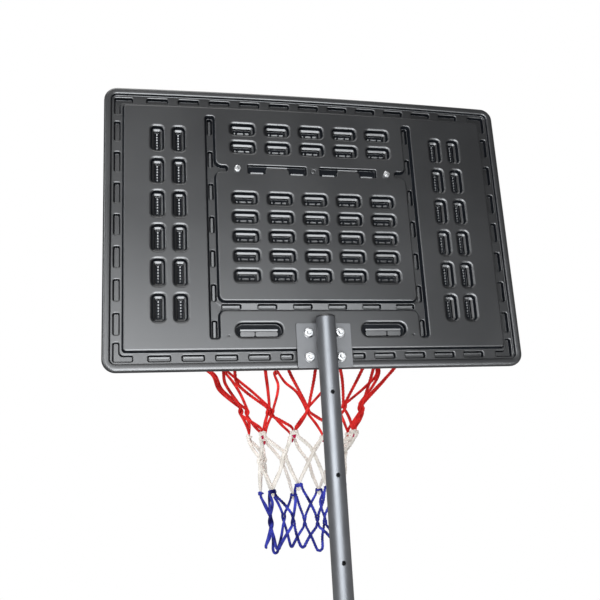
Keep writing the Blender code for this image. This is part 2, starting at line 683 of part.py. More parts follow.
def make_height_lock():
    """Plastic collar on the middle tube's end, with the locking screw and its star knob at the rear."""
    low, high = LOCK_HEIGHT - 0.034, MIDDLE_TOP + 0.022
    wide = LOWER_RADIUS + GAP
    slim = UPPER_RADIUS + GAP
    outer = LOWER_RADIUS + 0.0075
    step = MIDDLE_TOP + GAP
    profile = [(slim, high), (outer - 0.005, high), (outer, high - 0.006), (outer, low + 0.003),
               (outer - 0.002, low), (wide, low), (wide, step), (slim, step)]
    collar = turned("height_collar", profile, BLACK_PLASTIC, Matrix.Identity(4), ring=True)
    boss_end = 0.044
    boss = [(0.0, boss_end), (0.011, boss_end), (0.013, boss_end - 0.003), (0.0135, LOWER_RADIUS + 0.003),
            (0.0, LOWER_RADIUS + 0.003)]
    place = along("Y", (0.0, 0.0, LOCK_HEIGHT))
    combine(collar, turned("collar_boss", boss, None, place, steps=12), "UNION")
    drill(collar, "collar_screw_hole", 0.0044, 0.05, "Y", [(0.0, LOWER_RADIUS + 0.018, LOCK_HEIGHT)])
    tip = UPPER_RADIUS + 0.0006
    screw = [(0.0, 0.064), (0.004, 0.064), (0.004, tip + 0.006), (0.0029, tip + 0.0045),
             (0.0029, tip + 0.0006), (0.0023, tip), (0.0, tip)]
    turned("height_screw", screw, ZINC, place, steps=12)
    knob = [(0.0, 0.076), (0.018, 0.0745), (0.0225, 0.070), (0.0225, 0.061), (0.0095, 0.056), (0.009, 0.0525),
            (0.004 + GAP, 0.0525), (0.004 + GAP, 0.064 + GAP), (0.0, 0.064 + GAP)]
    star = turned("height_knob", knob, BLACK_PLASTIC, place, steps=18)
    lobes = 6
    places = []
    for index in range(lobes):
        angle = 2 * math.pi * index / lobes
        places.append((0.027 * math.cos(angle), 0.066, LOCK_HEIGHT + 0.027 * math.sin(angle)))
    drill(star, "knob_scallops", 0.0085, 0.024, "Y", places, sides=10)


# Base.

def tank_loop(inset, z):
    """The tank's plan outline drawn in by inset, at height z."""
    middle = (TANK_FRONT + TANK_REAR) / 2
    half_length = (TANK_REAR - TANK_FRONT) / 2
    outline = rounded_loop(TANK_HALF_WIDTH - inset, half_length - inset, TANK_CORNER - inset * 0.6, 4)
    return [(x, middle + y, z) for x, y in outline]


def tank_top_blocks():
    """Bosses that stand on the tank: the pole socket, the filler neck and a pad for each strut."""
    work = bmesh.new()
    deep = TANK_HEIGHT - 0.006

    def add_boss(x, y, foot, crest, top):
        loops = [[(x + px, y + py, pz) for px, py, pz in round_loop(radius, z, 20)]
                 for radius, z in ((foot, deep), (foot, TANK_HEIGHT + 0.001), (crest, top))]
        add_loft(work, loops)

    add_boss(0.0, 0.0, SOCKET_RADIUS + 0.016, SOCKET_RADIUS - 0.010, SOCKET_TOP)
    add_boss(0.0, FILLER_Y, 0.036, 0.032, FILLER_BOSS_TOP)
    for side in (-1, 1):
        add_boss(side * STRUT_FOOT[0], STRUT_FOOT[1], 0.024, 0.021, FILLER_BOSS_TOP)
    return add_object("tank_bosses", finish_mesh(work, "tank_bosses"), None)


def tank_grooves():
    """Stiffening grooves moulded into the tank's top, along it and across its rear."""
    work = bmesh.new()
    plan = [(side * x, 0.195, 0.020, 0.250) for side in (-1, 1) for x in (0.095, 0.150)]
    plan.append((0.0, 0.415, 0.180, 0.024))
    for x, y, width, length in plan:
        loops = []
        for z, inset in ((TANK_HEIGHT + 0.01, 0.0), (TANK_HEIGHT, 0.0), (TANK_HEIGHT - 0.008, 0.004)):
            outline = rounded_loop(width / 2 - inset, length / 2 - inset, 0.009 - inset, 2)
            loops.append([(x + px, y + py, z) for px, py in outline])
        add_loft(work, loops)
    return add_object("tank_grooves", finish_mesh(work, "tank_grooves"), None)


def wheel_wells():
    """Notches at the front corners that clear the wheels, arched over the tyre."""
    arch = WHEEL_RADIUS + 0.008
    outline = [(WHEEL_Y + arch, -0.01)]
    for step in range(6):
        angle = math.pi * step / 10
        outline.append((WHEEL_Y + arch * math.cos(angle), WHEEL_Z + arch * math.sin(angle)))
    outline += [(TANK_FRONT - 0.02, WHEEL_Z + arch), (TANK_FRONT - 0.02, -0.01)]
    work = bmesh.new()
    for side in (-1, 1):
        loops = [[(side * x, y, z) for y, z in outline] for x in (WELL_INNER_X, TANK_HALF_WIDTH + 0.02)]
        add_loft(work, loops)
    return add_object("wheel_wells", finish_mesh(work, "wheel_wells"), None)


def make_tank():
    """Blow-moulded tank that holds water or sand, with the pole socket and filler neck on top."""
    sections = ((0.010, 0.0), (0.0, 0.010), (0.0, 0.048), (0.004, 0.052), (0.022, 0.112), (0.032, 0.130),
                (0.050, TANK_HEIGHT))
    tank = lofted("base_tank", [tank_loop(*section) for section in sections], BLACK_PLASTIC)
    combine(tank, tank_grooves())
    combine(tank, tank_top_blocks(), "UNION")
    combine(tank, wheel_wells())
    socket_depth = SOCKET_TOP + 0.02 - BOTTOM_TUBE_BOTTOM + GAP
    drill(tank, "pole_socket", LOWER_RADIUS + GAP, socket_depth, "Z",
          [(0.0, 0.0, BOTTOM_TUBE_BOTTOM - GAP + socket_depth / 2)], sides=20)
    drill(tank, "filler_bore", FILLER_BORE, 0.08, "Z", [(0.0, FILLER_Y, FILLER_BOSS_TOP)], sides=20)
    drill(tank, "axle_hole", AXLE_RADIUS + GAP, 0.6, "X", [(0.0, WHEEL_Y, WHEEL_Z)])
    foot_places = [(side * STRUT_FOOT[0], STRUT_FOOT[1], FILLER_BOSS_TOP) for side in (-1, 1)]
    drill(tank, "strut_screw_holes", 0.0033, 0.05, "Z", foot_places)


def make_filler():
    """Screw cap with a grip edge over the filler neck, on a rubber sealing ring."""
    seal_low = FILLER_BOSS_TOP + GAP
    seal_high = seal_low + 0.002
    place = Matrix.Translation((0.0, FILLER_Y, 0.0))
    bore = FILLER_BORE + 0.0006
    seal = [(0.026, seal_high), (0.026, seal_low), (bore, seal_low), (bore, seal_high)]
    turned("filler_seal", seal, SEAL_RUBBER, place, ring=True)
    foot = seal_high + GAP
    plug = FILLER_BORE - GAP
    profile = [(0.0, foot + 0.008), (0.020, foot + 0.008), (0.0205, foot + 0.012), (0.028, foot + 0.012),
               (0.028, foot), (plug, foot), (plug, foot - 0.018), (0.0, foot - 0.018)]
    cap = turned("filler_cap", profile, BLACK_PLASTIC, place)
    notches = 10
    places = []
    for index in range(notches):
        angle = 2 * math.pi * index / notches
        places.append((0.0295 * math.cos(angle), FILLER_Y + 0.0295 * math.sin(angle), foot + 0.006))
    drill(cap, "cap_grips", 0.003, 0.03, "Z", places, sides=6)


def make_wheels():
    """Two moulded wheels with spoked webs that run on one steel axle, kept on by push caps."""
    half = WHEEL_WIDTH / 2
    bore = AXLE_RADIUS + GAP
    rim = WHEEL_RADIUS - 0.008
    profile = [(0.009, half), (0.009, 0.004), (rim, 0.004), (rim + 0.002, half - 0.002),
               (WHEEL_RADIUS, half - 0.006), (WHEEL_RADIUS, 0.006 - half), (rim + 0.002, 0.002 - half),
               (rim, -0.004), (0.009, -0.004), (0.009, -half), (bore, -half), (bore, half)]
    spokes = 5
    for side, word in ((-1, "left"), (1, "right")):
        center = (side * WHEEL_X, WHEEL_Y, WHEEL_Z)
        wheel = turned(f"wheel_{word}", profile, TYRE_PLASTIC, along("X", center), ring=True)
        places = []
        for index in range(spokes):
            angle = 2 * math.pi * (index + 0.25) / spokes
            reach = (rim + 0.009) / 2
            places.append((center[0], WHEEL_Y + reach * math.cos(angle), WHEEL_Z + reach * math.sin(angle)))
        drill(wheel, f"wheel_windows_{word}", 0.006, 0.02, "X", places, sides=6)
        outer = WHEEL_X + half + 0.001
        cap = [(0.0, outer + 0.009), (0.006, outer + 0.0085), (0.0085, outer + 0.006), (0.009, outer),
               (AXLE_RADIUS + GAP, outer), (AXLE_RADIUS + GAP, outer + 0.006), (0.0, outer + 0.006)]
        out = "X" if side > 0 else "-X"
        turned(f"axle_cap_{word}", cap, BLACK_PLASTIC, along(out, (0.0, WHEEL_Y, WHEEL_Z)), steps=12)
    end = WHEEL_X + half + 0.001 + 0.006 - GAP
    axle = [(0.0, end), (AXLE_RADIUS - 0.0008, end), (AXLE_RADIUS, end - 0.0008), (AXLE_RADIUS, 0.0008 - end),
            (AXLE_RADIUS - 0.0008, -end), (0.0, -end)]
    turned("wheel_axle", axle, ZINC, along("X", (0.0, WHEEL_Y, WHEEL_Z)), steps=12)


def make_struts():
    """Two flattened tubes that brace the pole from the rear of the tank, and their bolts."""
    flat = 0.0016
    top_x = LOWER_RADIUS + GAP + flat
    foot_z = FILLER_BOSS_TOP + GAP + flat
    for side, word in ((-1, "left"), (1, "right")):
        top = (side * top_x, 0.0, STRUT_TOP_Z)
        foot = (side * STRUT_FOOT[0], STRUT_FOOT[1], foot_z)
        strut = bolted_rod(f"strut_{word}", top, (side, 0, 0), foot, (0, 0, 1), STRUT_RADIUS, GREY_PAINT)
        drill(strut, f"strut_top_hole_{word}", 0.0034, 0.012, "X", [top])
        drill(strut, f"strut_foot_hole_{word}", 0.0034, 0.012, "Z", [foot])
        screw_place = (*foot[:2], foot_z + flat + GAP)
        domed_bolt(f"strut_screw_{word}", 0.0029, 0.0065, 0.004, 0.024, along("Z", screw_place))
    seat = top_x + flat + GAP
    hex_bolt("strut_top_bolt", 0.003, 0.010, 0.004, 2 * seat + 0.009, along("X", (seat, 0.0, STRUT_TOP_Z)))
    hex_nut("strut_top_nut", 0.0033, 0.010, 0.005, along("-X", (-seat, 0.0, STRUT_TOP_Z)))


make_backboard()
make_rear_bracket()
make_board_fasteners()
make_rim_bracket()
make_rim_ring()
make_stays()
make_net()
make_upper_tube()
make_lower_tubes()
make_height_lock()
make_tank()
make_filler()
make_wheels()
make_struts()
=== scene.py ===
"""Looks of the portable basketball hoop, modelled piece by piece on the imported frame."""
import math

import bmesh
import bpy
from mathutils import Matrix, Vector


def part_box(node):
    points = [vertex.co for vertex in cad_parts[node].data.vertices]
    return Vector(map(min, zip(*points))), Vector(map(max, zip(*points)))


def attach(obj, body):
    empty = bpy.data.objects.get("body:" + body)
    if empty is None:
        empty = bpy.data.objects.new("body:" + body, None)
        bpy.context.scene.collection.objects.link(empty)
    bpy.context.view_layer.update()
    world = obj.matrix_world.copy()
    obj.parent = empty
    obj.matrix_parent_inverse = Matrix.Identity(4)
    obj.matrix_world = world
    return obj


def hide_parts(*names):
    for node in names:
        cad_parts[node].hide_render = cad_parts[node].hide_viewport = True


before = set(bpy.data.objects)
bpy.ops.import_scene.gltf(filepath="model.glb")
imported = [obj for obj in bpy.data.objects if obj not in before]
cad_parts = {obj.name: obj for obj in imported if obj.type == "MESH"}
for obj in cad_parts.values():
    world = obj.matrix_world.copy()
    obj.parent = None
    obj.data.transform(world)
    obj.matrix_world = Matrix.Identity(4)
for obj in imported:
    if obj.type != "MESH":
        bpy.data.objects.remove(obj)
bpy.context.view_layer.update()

# Base tank.
# A hollow blow moulding in black polyethylene that is filled with water or sand. A parting line runs round
# its belt, grooves stiffen its top, and the pole socket, filler neck and strut pads are moulded into it.


def select_only(piece):
    """Make one object the only selected one."""
    bpy.ops.object.select_all(action="DESELECT")
    piece.select_set(True)
    bpy.context.view_layer.objects.active = piece


def take_all():
    """Select all of the mesh that is being shaped."""
    bpy.ops.mesh.select_all(action="SELECT")


def open_mesh():
    """Start to shape the active object, with all of its mesh selected."""
    bpy.ops.object.mode_set(mode="EDIT")
    take_all()


def close_mesh():
    """Stop shaping the active object."""
    bpy.ops.object.mode_set(mode="OBJECT")


def keep_transform():
    """Move the active object's place, turn and scale into its mesh."""
    bpy.ops.object.transform_apply(location=True, rotation=True, scale=True)


def add_primitive(name, add, **options):
    """Add one mesh primitive with nothing else selected."""
    bpy.ops.object.select_all(action="DESELECT")
    add(**options)
    piece = bpy.context.object
    piece.name = name
    piece.data.name = name
    return piece


def shoulder(inset, rise, count):
    """Ring steps of a quarter round that leaves a flat and ends along a wall."""
    turns = [math.pi / 2 * step / count for step in range(count + 1)]
    return [(inset * (math.sin(after) - math.sin(before)), rise * (math.cos(before) - math.cos(after)))
            for before, after in zip(turns, turns[1:])]


def fillet(inset, rise, count):
    """Ring steps of a quarter round that leaves a wall and ends along a flat."""
    return [(across, up) for up, across in shoulder(rise, inset, count)]


def draw_in(steps, open_floor=False):
    """Draw the outline being shaped in, up or down, a ring for each (inset, rise), and close the mesh."""
    take_all()
    for inset, rise in steps:
        bpy.ops.mesh.inset(thickness=inset, depth=rise)
    if open_floor:
        bpy.ops.mesh.delete(type="ONLY_FACE")
    close_mesh()


def rectangle(name, width, height, place=(0, 0, 0)):
    """A plain rectangle, open to be shaped."""
    piece = add_primitive(name, bpy.ops.mesh.primitive_plane_add, size=1, location=place)
    piece.scale = (width, height, 1)
    keep_transform()
    open_mesh()
    return piece


def pressed(name, width, height, corner, place, steps, arc=5, open_floor=False):
    """A flat plate with round corners, drawn in ring by ring."""
    piece = rectangle(name, width, height, place)
    bpy.ops.mesh.bevel(affect="VERTICES", offset=corner, segments=arc)
    draw_in(steps, open_floor)
    return piece


def pressed_round(name, radius, place, steps):
    """A flat disc drawn in ring by ring."""
    piece = add_primitive(name, bpy.ops.mesh.primitive_circle_add, vertices=72, radius=radius,
                          fill_type="NGON", location=place)
    keep_transform()
    open_mesh()
    draw_in(steps)
    return piece


def join(name, shapes):
    """Join shapes into one object."""
    bpy.ops.object.select_all(action="DESELECT")
    for shape in shapes:
        shape.select_set(True)
    bpy.context.view_layer.objects.active = shapes[0]
    bpy.ops.object.join()
    shapes[0].name = name
    shapes[0].data.name = name
    keep_transform()
    return shapes[0]


def select_edges(piece, test):
    """In edit mode, select the edges that pass a test."""
    bpy.ops.mesh.select_mode(type="EDGE")
    bpy.ops.mesh.select_all(action="DESELECT")
    work = bmesh.from_edit_mesh(piece.data)
    for edge in work.edges:
        if test(edge):
            edge.select_set(True)
    bmesh.update_edit_mesh(piece.data)


def weld(near):
    """Merge the doubled points of the mesh that is being shaped."""
    take_all()
    bpy.ops.mesh.remove_doubles(threshold=near)


def face_outwards():
    """Turn the faces of the mesh that is being shaped outwards."""
    take_all()
    bpy.ops.mesh.normals_make_consistent(inside=False)


def fill_lands(piece, levels):
    """Weld joined shapes, and fill the flat land at each level between the open edges that lie in it."""
    near = 0.00002
    open_mesh()
    weld(near / 2)
    for level in levels:
        select_edges(piece, lambda edge: edge.is_boundary
                     and all(abs(end.co.z - level) < near for end in edge.verts))
        bpy.ops.mesh.fill(use_beauty=True)
    face_outwards()
    close_mesh()


def cut(piece, cutter):
    """Cut a shape out of a piece."""
    select_only(piece)
    change = piece.modifiers.new("cut", "BOOLEAN")
    change.operation = "DIFFERENCE"
    change.solver = "EXACT"
    change.object = cutter
    bpy.ops.object.modifier_apply(modifier="cut")
    bpy.data.objects.remove(cutter)


def add_node(tree, kind, inputs, **settings):
    """Add a shader node and give each of its inputs a value or another node's output."""
    node = tree.nodes.new(f"ShaderNode{kind}")
    for name, value in settings.items():
        setattr(node, name, value)
    for socket, value in inputs.items():
        if isinstance(value, bpy.types.NodeSocket):
            tree.links.new(value, node.inputs[socket])
        else:
            node.inputs[socket].default_value = value
    return node


def surface(name, shades, drift, gloss, metal=0.0, specular=0.5, grain=None):
    """A finish whose two shades and gloss drift over the piece, with a fine grain where one is given."""
    low, high = 0.35, 0.65
    finish = bpy.data.materials.new(name)
    finish.use_nodes = True
    tree = finish.node_tree
    shader = tree.nodes["Principled BSDF"]
    shader.inputs["Metallic"].default_value = metal
    shader.inputs["Specular IOR Level"].default_value = specular
    where = add_node(tree, "TexCoord", {}).outputs["Object"]
    cloud = add_node(tree, "TexNoise", {"Vector": where, "Scale": drift, "Detail": 5.0}).outputs["Fac"]
    ramp = add_node(tree, "ValToRGB", {"Fac": cloud})
    for stop, place, shade in zip(ramp.color_ramp.elements, (low, high), shades):
        stop.position = place
        stop.color = (*shade, 1.0)
    sheen = add_node(tree, "MapRange", {"Value": cloud, "From Min": low, "From Max": high,
                                        "To Min": gloss[0], "To Max": gloss[1]})
    tree.links.new(ramp.outputs["Color"], shader.inputs["Base Color"])
    tree.links.new(sheen.outputs["Result"], shader.inputs["Roughness"])
    if grain:
        fineness, strength, depth = grain
        speckle = add_node(tree, "TexNoise", {"Vector": where, "Scale": fineness})
        relief = add_node(tree, "Bump", {"Height": speckle.outputs["Fac"], "Strength": strength,
                                         "Distance": depth})
        tree.links.new(relief.outputs["Normal"], shader.inputs["Normal"])
    return finish


def fit(piece, angle, body, slot, finish, *nodes):
    """Shade a piece smooth up to an edge angle, finish it, and let it ride on its body for its CAD nodes."""
    select_only(piece)
    bpy.ops.object.shade_smooth_by_angle(angle=math.radians(angle))
    flats = piece.modifiers.new("flats", "WEIGHTED_NORMAL")
    flats.keep_sharp = True
    bpy.ops.object.modifier_apply(modifier="flats")
    piece.data.materials.clear()
    piece.data.materials.append(finish)
    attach(piece, body)
    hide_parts(*nodes)


tank_low, tank_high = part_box("base_tank")
BELT, LAND, TANK_CORNER, TANK_ARC = 0.048, 0.140, 0.070, 12
GROOVE_WIDE, GROOVE_CORNER, SHAFT_DEPTH = 0.0212, 0.0092, -0.0300
filler_y, pad_x, pad_y = 0.300, 0.170, 0.365
tank_wide, tank_long = tank_high.x - tank_low.x, tank_high.y - tank_low.y
tank_middle = (0, (tank_low.y + tank_high.y) / 2, BELT)
upper_steps = ([(0.0006, 0.0010), (0.0012, 0.0012), (0.0022, 0.0018)] + [(0.0053, 0.0187)] * 3
               + fillet(0.0300, LAND - BELT - 0.0601, 9))
lower_steps = [(0.0006, -0.0010), (0.0003, -0.0370)] + fillet(0.0091, -0.0100, 5)
shapes = [pressed("tank_top", tank_wide, tank_long, TANK_CORNER, tank_middle, upper_steps, TANK_ARC, True),
          pressed("tank_foot", tank_wide, tank_long, TANK_CORNER, tank_middle, lower_steps, TANK_ARC)]
groove_steps = ([(0.0006, 0.0)] + shoulder(0.0022, -0.0022, 4) + [(0.0016, -0.0030)]
                + fillet(0.0026, -0.0028, 4))
for x in (-0.150, -0.095, 0.095, 0.150):
    shapes.append(pressed("groove", GROOVE_WIDE, 0.2512, GROOVE_CORNER, (x, 0.195, LAND), groove_steps))
shapes.append(pressed("groove", 0.1812, 0.0252, GROOVE_CORNER, (0, 0.415, LAND), groove_steps))
socket_steps = ([(0.0010, 0.0)] + shoulder(0.0080, 0.0100, 5) + [(0.0100, 0.0120)] + fillet(0.0070, 0.0100, 6)
                + [(0.0136, 0.0)] + shoulder(0.0008, -0.0008, 2) + [(0.0001, SHAFT_DEPTH)])
shapes.append(pressed_round("pole_socket", 0.060, (0, 0, LAND), socket_steps))
neck_steps = ([(0.0010, 0.0)] + shoulder(0.0020, 0.0024, 3) + fillet(0.0016, 0.0036, 4) + [(0.0108, 0.0)]
              + shoulder(0.0006, -0.0006, 2) + [(0.0001, SHAFT_DEPTH)])
shapes.append(pressed_round("filler_neck", 0.036, (0, filler_y, LAND), neck_steps))
pad_steps = [(0.0006, 0.0)] + shoulder(0.0012, 0.0020, 3) + fillet(0.0014, 0.0040, 4)
for side in (-1, 1):
    shapes.append(pressed_round("strut_pad", 0.024, (side * pad_x, pad_y, LAND), pad_steps))
tank = join("moulded_tank", shapes)
fill_lands(tank, (LAND,))
WELL_ARCH = 0.042
for side in (-1, 1):
    well = add_primitive("wheel_well", bpy.ops.mesh.primitive_cube_add, size=1,
                         location=(side * 0.2435, -0.154, 0.035))
    well.scale = (0.073, 0.092, 0.090)
    keep_transform()
    open_mesh()
    select_edges(well, lambda edge: all(end.co.y > -0.11 and end.co.z > 0.07 for end in edge.verts))
    bpy.ops.mesh.bevel(affect="EDGES", offset=WELL_ARCH, segments=12)
    close_mesh()
    cut(tank, well)
tank_plastic = surface("tank_plastic", ((0.0130, 0.0135, 0.0145), (0.0185, 0.0190, 0.0200)), 7.0,
                       (0.38, 0.50), grain=(650.0, 0.20, 0.0006))
fit(tank, 40, "base", "tank_plastic", tank_plastic, "base_tank")

# Axle, wheels and push caps.
# A plain zinc-plated steel rod through the tank carries two moulded wheels with a ribbed tread and five
# windows in the web; domed plastic caps are pressed over the rod's ends.


def extrude(run):
    """Extrude what is selected along a run."""
    bpy.ops.mesh.extrude_region_move(TRANSFORM_OT_translate={"value": run})


def trace(name, points):
    """A chain of edges through points, open to be shaped."""
    piece = add_primitive(name, bpy.ops.mesh.primitive_plane_add, size=0.01)
    open_mesh()
    bpy.ops.mesh.select_mode(type="VERT")
    take_all()
    bpy.ops.mesh.merge(type="CENTER")
    bpy.ops.transform.translate(value=points[0])
    for before, after in zip(points, points[1:]):
        extrude([end - start for start, end in zip(before, after)])
    take_all()
    return piece


def turned(name, outline, steps=64):
    """Turn an outline of (radius, height) about Z."""
    piece = trace(name, [(out, 0, up) for out, up in outline])
    bpy.ops.mesh.spin(steps=steps, angle=2 * math.pi, center=(0, 0, 0), axis=(0, 0, 1))
    weld(0.000001)
    face_outwards()
    close_mesh()
    return piece


def place_piece(piece, place, turn=(0, 0, 0)):
    """Lay a shape modelled about the origin at its place, and keep the place in its mesh."""
    select_only(piece)
    piece.location = place
    piece.rotation_euler = turn
    keep_transform()
    return piece


def copy_of(pattern, name):
    """A copy of a modelled shape with its own mesh."""
    copy = pattern.copy()
    copy.data = pattern.data.copy()
    copy.name = name
    copy.data.name = name
    bpy.context.collection.objects.link(copy)
    return copy


ALONG_X, ALONG_BACK_X = (0, math.pi / 2, 0), (0, -math.pi / 2, 0)
ALONG_Y, ALONG_BACK_Y = (-math.pi / 2, 0, 0), (math.pi / 2, 0, 0)
SIDES = ((-1, "left"), (1, "right"))
wheel_x, wheel_y, wheel_z = 0.2205, -0.150, 0.038
axle_end = 0.2392
axle = turned("steel_axle", [(0, axle_end), (0.0032, axle_end), (0.0040, axle_end - 0.0008),
                             (0.0040, 0.0008 - axle_end), (0.0032, -axle_end), (0, -axle_end)], 40)
place_piece(axle, (0, wheel_y, wheel_z), ALONG_X)
zinc = surface("zinc", ((0.60, 0.61, 0.62), (0.74, 0.75, 0.76)), 160.0, (0.20, 0.32), metal=1.0,
               grain=(2200.0, 0.10, 0.0002))
fit(axle, 35, "base", "zinc", zinc, "wheel_axle")

wheel_half = [(0.0043, 0.0113), (0.0050, 0.0120), (0.0083, 0.0120), (0.0090, 0.0113), (0.0090, 0.0052),
              (0.0101, 0.0040), (0.0248, 0.0040), (0.0260, 0.0052), (0.0274, 0.0092), (0.0284, 0.0100),
              (0.0298, 0.0097), (0.0325, 0.0080), (0.0336, 0.0069), (0.0340, 0.0058), (0.0340, 0.0036),
              (0.0334, 0.0031), (0.0334, 0.0019), (0.0340, 0.0014)]
wheel = turned("wheel", wheel_half + [(out, -up) for out, up in reversed(wheel_half)] + wheel_half[:1], 96)
window = turned("window", [(0, 0.0070), (0.0086, 0.0070), (0.0060, 0.0034), (0.0060, -0.0034),
                           (0.0086, -0.0070), (0, -0.0070)], 40)
WINDOWS, WINDOW_REACH = 5, 0.0175
windows = []
for number in range(WINDOWS):
    angle = 2 * math.pi * (number + 0.25) / WINDOWS
    place = (-WINDOW_REACH * math.sin(angle), WINDOW_REACH * math.cos(angle), 0)
    windows.append(place_piece(copy_of(window, "window"), place))
bpy.data.objects.remove(window)
cut(wheel, join("windows", windows))
wheel_plastic = surface("wheel_plastic", ((0.020, 0.020, 0.021), (0.030, 0.030, 0.031)), 40.0, (0.46, 0.60),
                        grain=(900.0, 0.20, 0.0004))
cap = turned("cap", [(0, 0.2425), (0.0035, 0.2424), (0.0060, 0.2419), (0.0077, 0.2409), (0.0086, 0.2393),
                     (0.0090, 0.2370), (0.0090, 0.2338), (0.0086, 0.2335), (0.0043, 0.2335), (0.0043, 0.2395),
                     (0, 0.2395)], 48)
fitting_plastic = surface("fitting_plastic", ((0.016, 0.016, 0.0175), (0.023, 0.023, 0.0245)), 60.0,
                          (0.32, 0.44), grain=(1100.0, 0.14, 0.0003))
for side, word in SIDES:
    moulded = copy_of(wheel, f"moulded_wheel_{word}")
    place_piece(moulded, (side * wheel_x, wheel_y, wheel_z), ALONG_X)
    fit(moulded, 35, f"wheel_{word}", "wheel_plastic", wheel_plastic, f"wheel_{word}")
    push_cap = copy_of(cap, f"push_cap_{word}")
    place_piece(push_cap, (0, wheel_y, wheel_z), ALONG_X if side > 0 else ALONG_BACK_X)
    fit(push_cap, 40, "base", "fitting_plastic", fitting_plastic, f"axle_cap_{word}")
bpy.data.objects.remove(wheel)
bpy.data.objects.remove(cap)

# Filler seal and cap.
# A flat black rubber ring lies on the filler neck, and a moulded screw cap with a dished top, ten grip
# notches and a coarse thread on its plug clamps it.


def thread_outline(radius, low, high, pitch, depth):
    """Outline of a thread from its top down: each ridge has two root points and a narrow crest."""
    outline = []
    for number in range(int((high - low) / pitch)):
        top = high - number * pitch
        root = radius - depth
        for reach, part in ((root, 0.05), (radius, 0.40), (radius, 0.60), (root, 0.95)):
            outline.append((reach, top - part * pitch))
    return outline


seal_foot, cap_foot = 0.1463, 0.1486
seal = turned("rubber_ring", [
    (0.0206, 0.0005), (0.0206, 0.0015), (0.0211, 0.0020), (0.0255, 0.0020), (0.0260, 0.0015),
    (0.0260, 0.0005), (0.0255, 0.0), (0.0211, 0.0), (0.0206, 0.0005)])
place_piece(seal, (0, filler_y, seal_foot))
seal_rubber = surface("seal_rubber", ((0.020, 0.020, 0.020), (0.032, 0.032, 0.032)), 90.0, (0.66, 0.80))
fit(seal, 50, "filler_seal", "seal_rubber", seal_rubber, "filler_seal")
cap_top = [(0, 0.0080), (0.0185, 0.0080), (0.0196, 0.0084), (0.0202, 0.0110), (0.0212, 0.0120),
           (0.0266, 0.0120), (0.0276, 0.0116), (0.0280, 0.0106), (0.0280, 0.0010), (0.0273, 0.0),
           (0.0197, 0.0)]
cap_thread = thread_outline(0.0197, -0.0172, -0.0010, 0.0040, 0.0014)
screw_cap = turned("screw_cap", cap_top + cap_thread + [(0.0178, -0.0180), (0, -0.0180)], 96)
NOTCHES, NOTCH_REACH = 10, 0.0295
notches = []
for number in range(NOTCHES):
    angle = 2 * math.pi * number / NOTCHES
    notch = add_primitive("notch", bpy.ops.mesh.primitive_cylinder_add, vertices=28, radius=0.0030,
                          depth=0.030)
    notches.append(place_piece(notch, (NOTCH_REACH * math.cos(angle), NOTCH_REACH * math.sin(angle), 0.006)))
cut(screw_cap, join("notches", notches))
place_piece(screw_cap, (0, filler_y, cap_foot))
fit(screw_cap, 38, "filler_cap", "fitting_plastic", fitting_plastic, "filler_cap")

# Lower pole tubes and their joint.
# Two grey powder-coated steel tubes; the bottom one's swaged neck plugs into the middle one and one
# zinc-plated hexagon bolt with a nut holds them.


def hexagon(name, flats, low, high, bore=0.0):
    """A chamfered hexagon between two heights, turned and then milled on six sides."""
    corner, crown = flats / 2 / math.cos(math.pi / 6), flats / 2 * 0.95
    drop = (corner - crown) * 0.58
    outline = [(bore, high), (crown, high), (corner, high - drop), (corner, low + drop * 0.4), (crown, low),
               (bore, low)]
    if bore > 0:
        outline.append((bore, high))
    piece = turned(name, outline, 72)
    open_mesh()
    for number in range(6):
        angle = math.pi * (number + 0.5) / 3
        normal = Vector((math.cos(angle), math.sin(angle), 0))
        take_all()
        bpy.ops.mesh.bisect(plane_co=normal * flats / 2, plane_no=normal, clear_outer=True, use_fill=True)
    close_mesh()
    return piece


def shank_outline(radius, length, thread):
    """Outline of a bolt shank down from Z 0, threaded along its last part and pointed at its end."""
    end = 0.0009
    return ([(radius, 0.0), (radius, thread - length)]
            + thread_outline(radius, end - length, thread - length, 0.0011, 0.0005)
            + [(radius * 0.76, -length), (0, -length)])


def hex_bolt(name, radius, flats, head, length, thread):
    """A hexagon head above Z 0 and a threaded shank below it."""
    shank = turned("shank", [(0, 0.0005)] + shank_outline(radius, length, thread), 40)
    return join(name, [hexagon("head", flats, 0.0, head), shank])


TUBE_RADIUS, TUBE_BORE, NECK_RADIUS, NECK_BORE = 0.019, 0.0175, 0.0172, 0.0157
bottom_tube = turned("swaged_tube", [
    (TUBE_RADIUS, 0.0305), (TUBE_RADIUS, 0.4685), (0.0188, 0.4710), (0.0182, 0.4745), (0.0176, 0.4780),
    (NECK_RADIUS, 0.4807), (NECK_RADIUS, 0.5596), (NECK_RADIUS - 0.0004, 0.5600), (NECK_BORE, 0.5600),
    (NECK_BORE, 0.4797), (TUBE_BORE, 0.4677), (TUBE_BORE, 0.0300), (TUBE_RADIUS - 0.0005, 0.0300),
    (TUBE_RADIUS, 0.0305)], 72)
middle_tube = turned("middle_tube", [
    (TUBE_RADIUS, 0.4805), (TUBE_RADIUS, 1.2095), (TUBE_RADIUS - 0.0005, 1.2100),
    (TUBE_BORE + 0.0004, 1.2100), (TUBE_BORE, 1.2096), (TUBE_BORE, 0.4804), (TUBE_BORE + 0.0004, 0.4800),
    (TUBE_RADIUS - 0.0005, 0.4800), (TUBE_RADIUS, 0.4805)], 72)
pole_paint = surface("pole_paint", ((0.044, 0.0462, 0.0510), (0.053, 0.0556, 0.0610)), 26.0, (0.42, 0.48),
                     specular=0.62, grain=(1500.0, 0.10, 0.0002))
for tube, node in ((bottom_tube, "bottom_pole_tube"), (middle_tube, "middle_pole_tube")):
    fit(tube, 30, "base", "pole_paint", pole_paint, node)


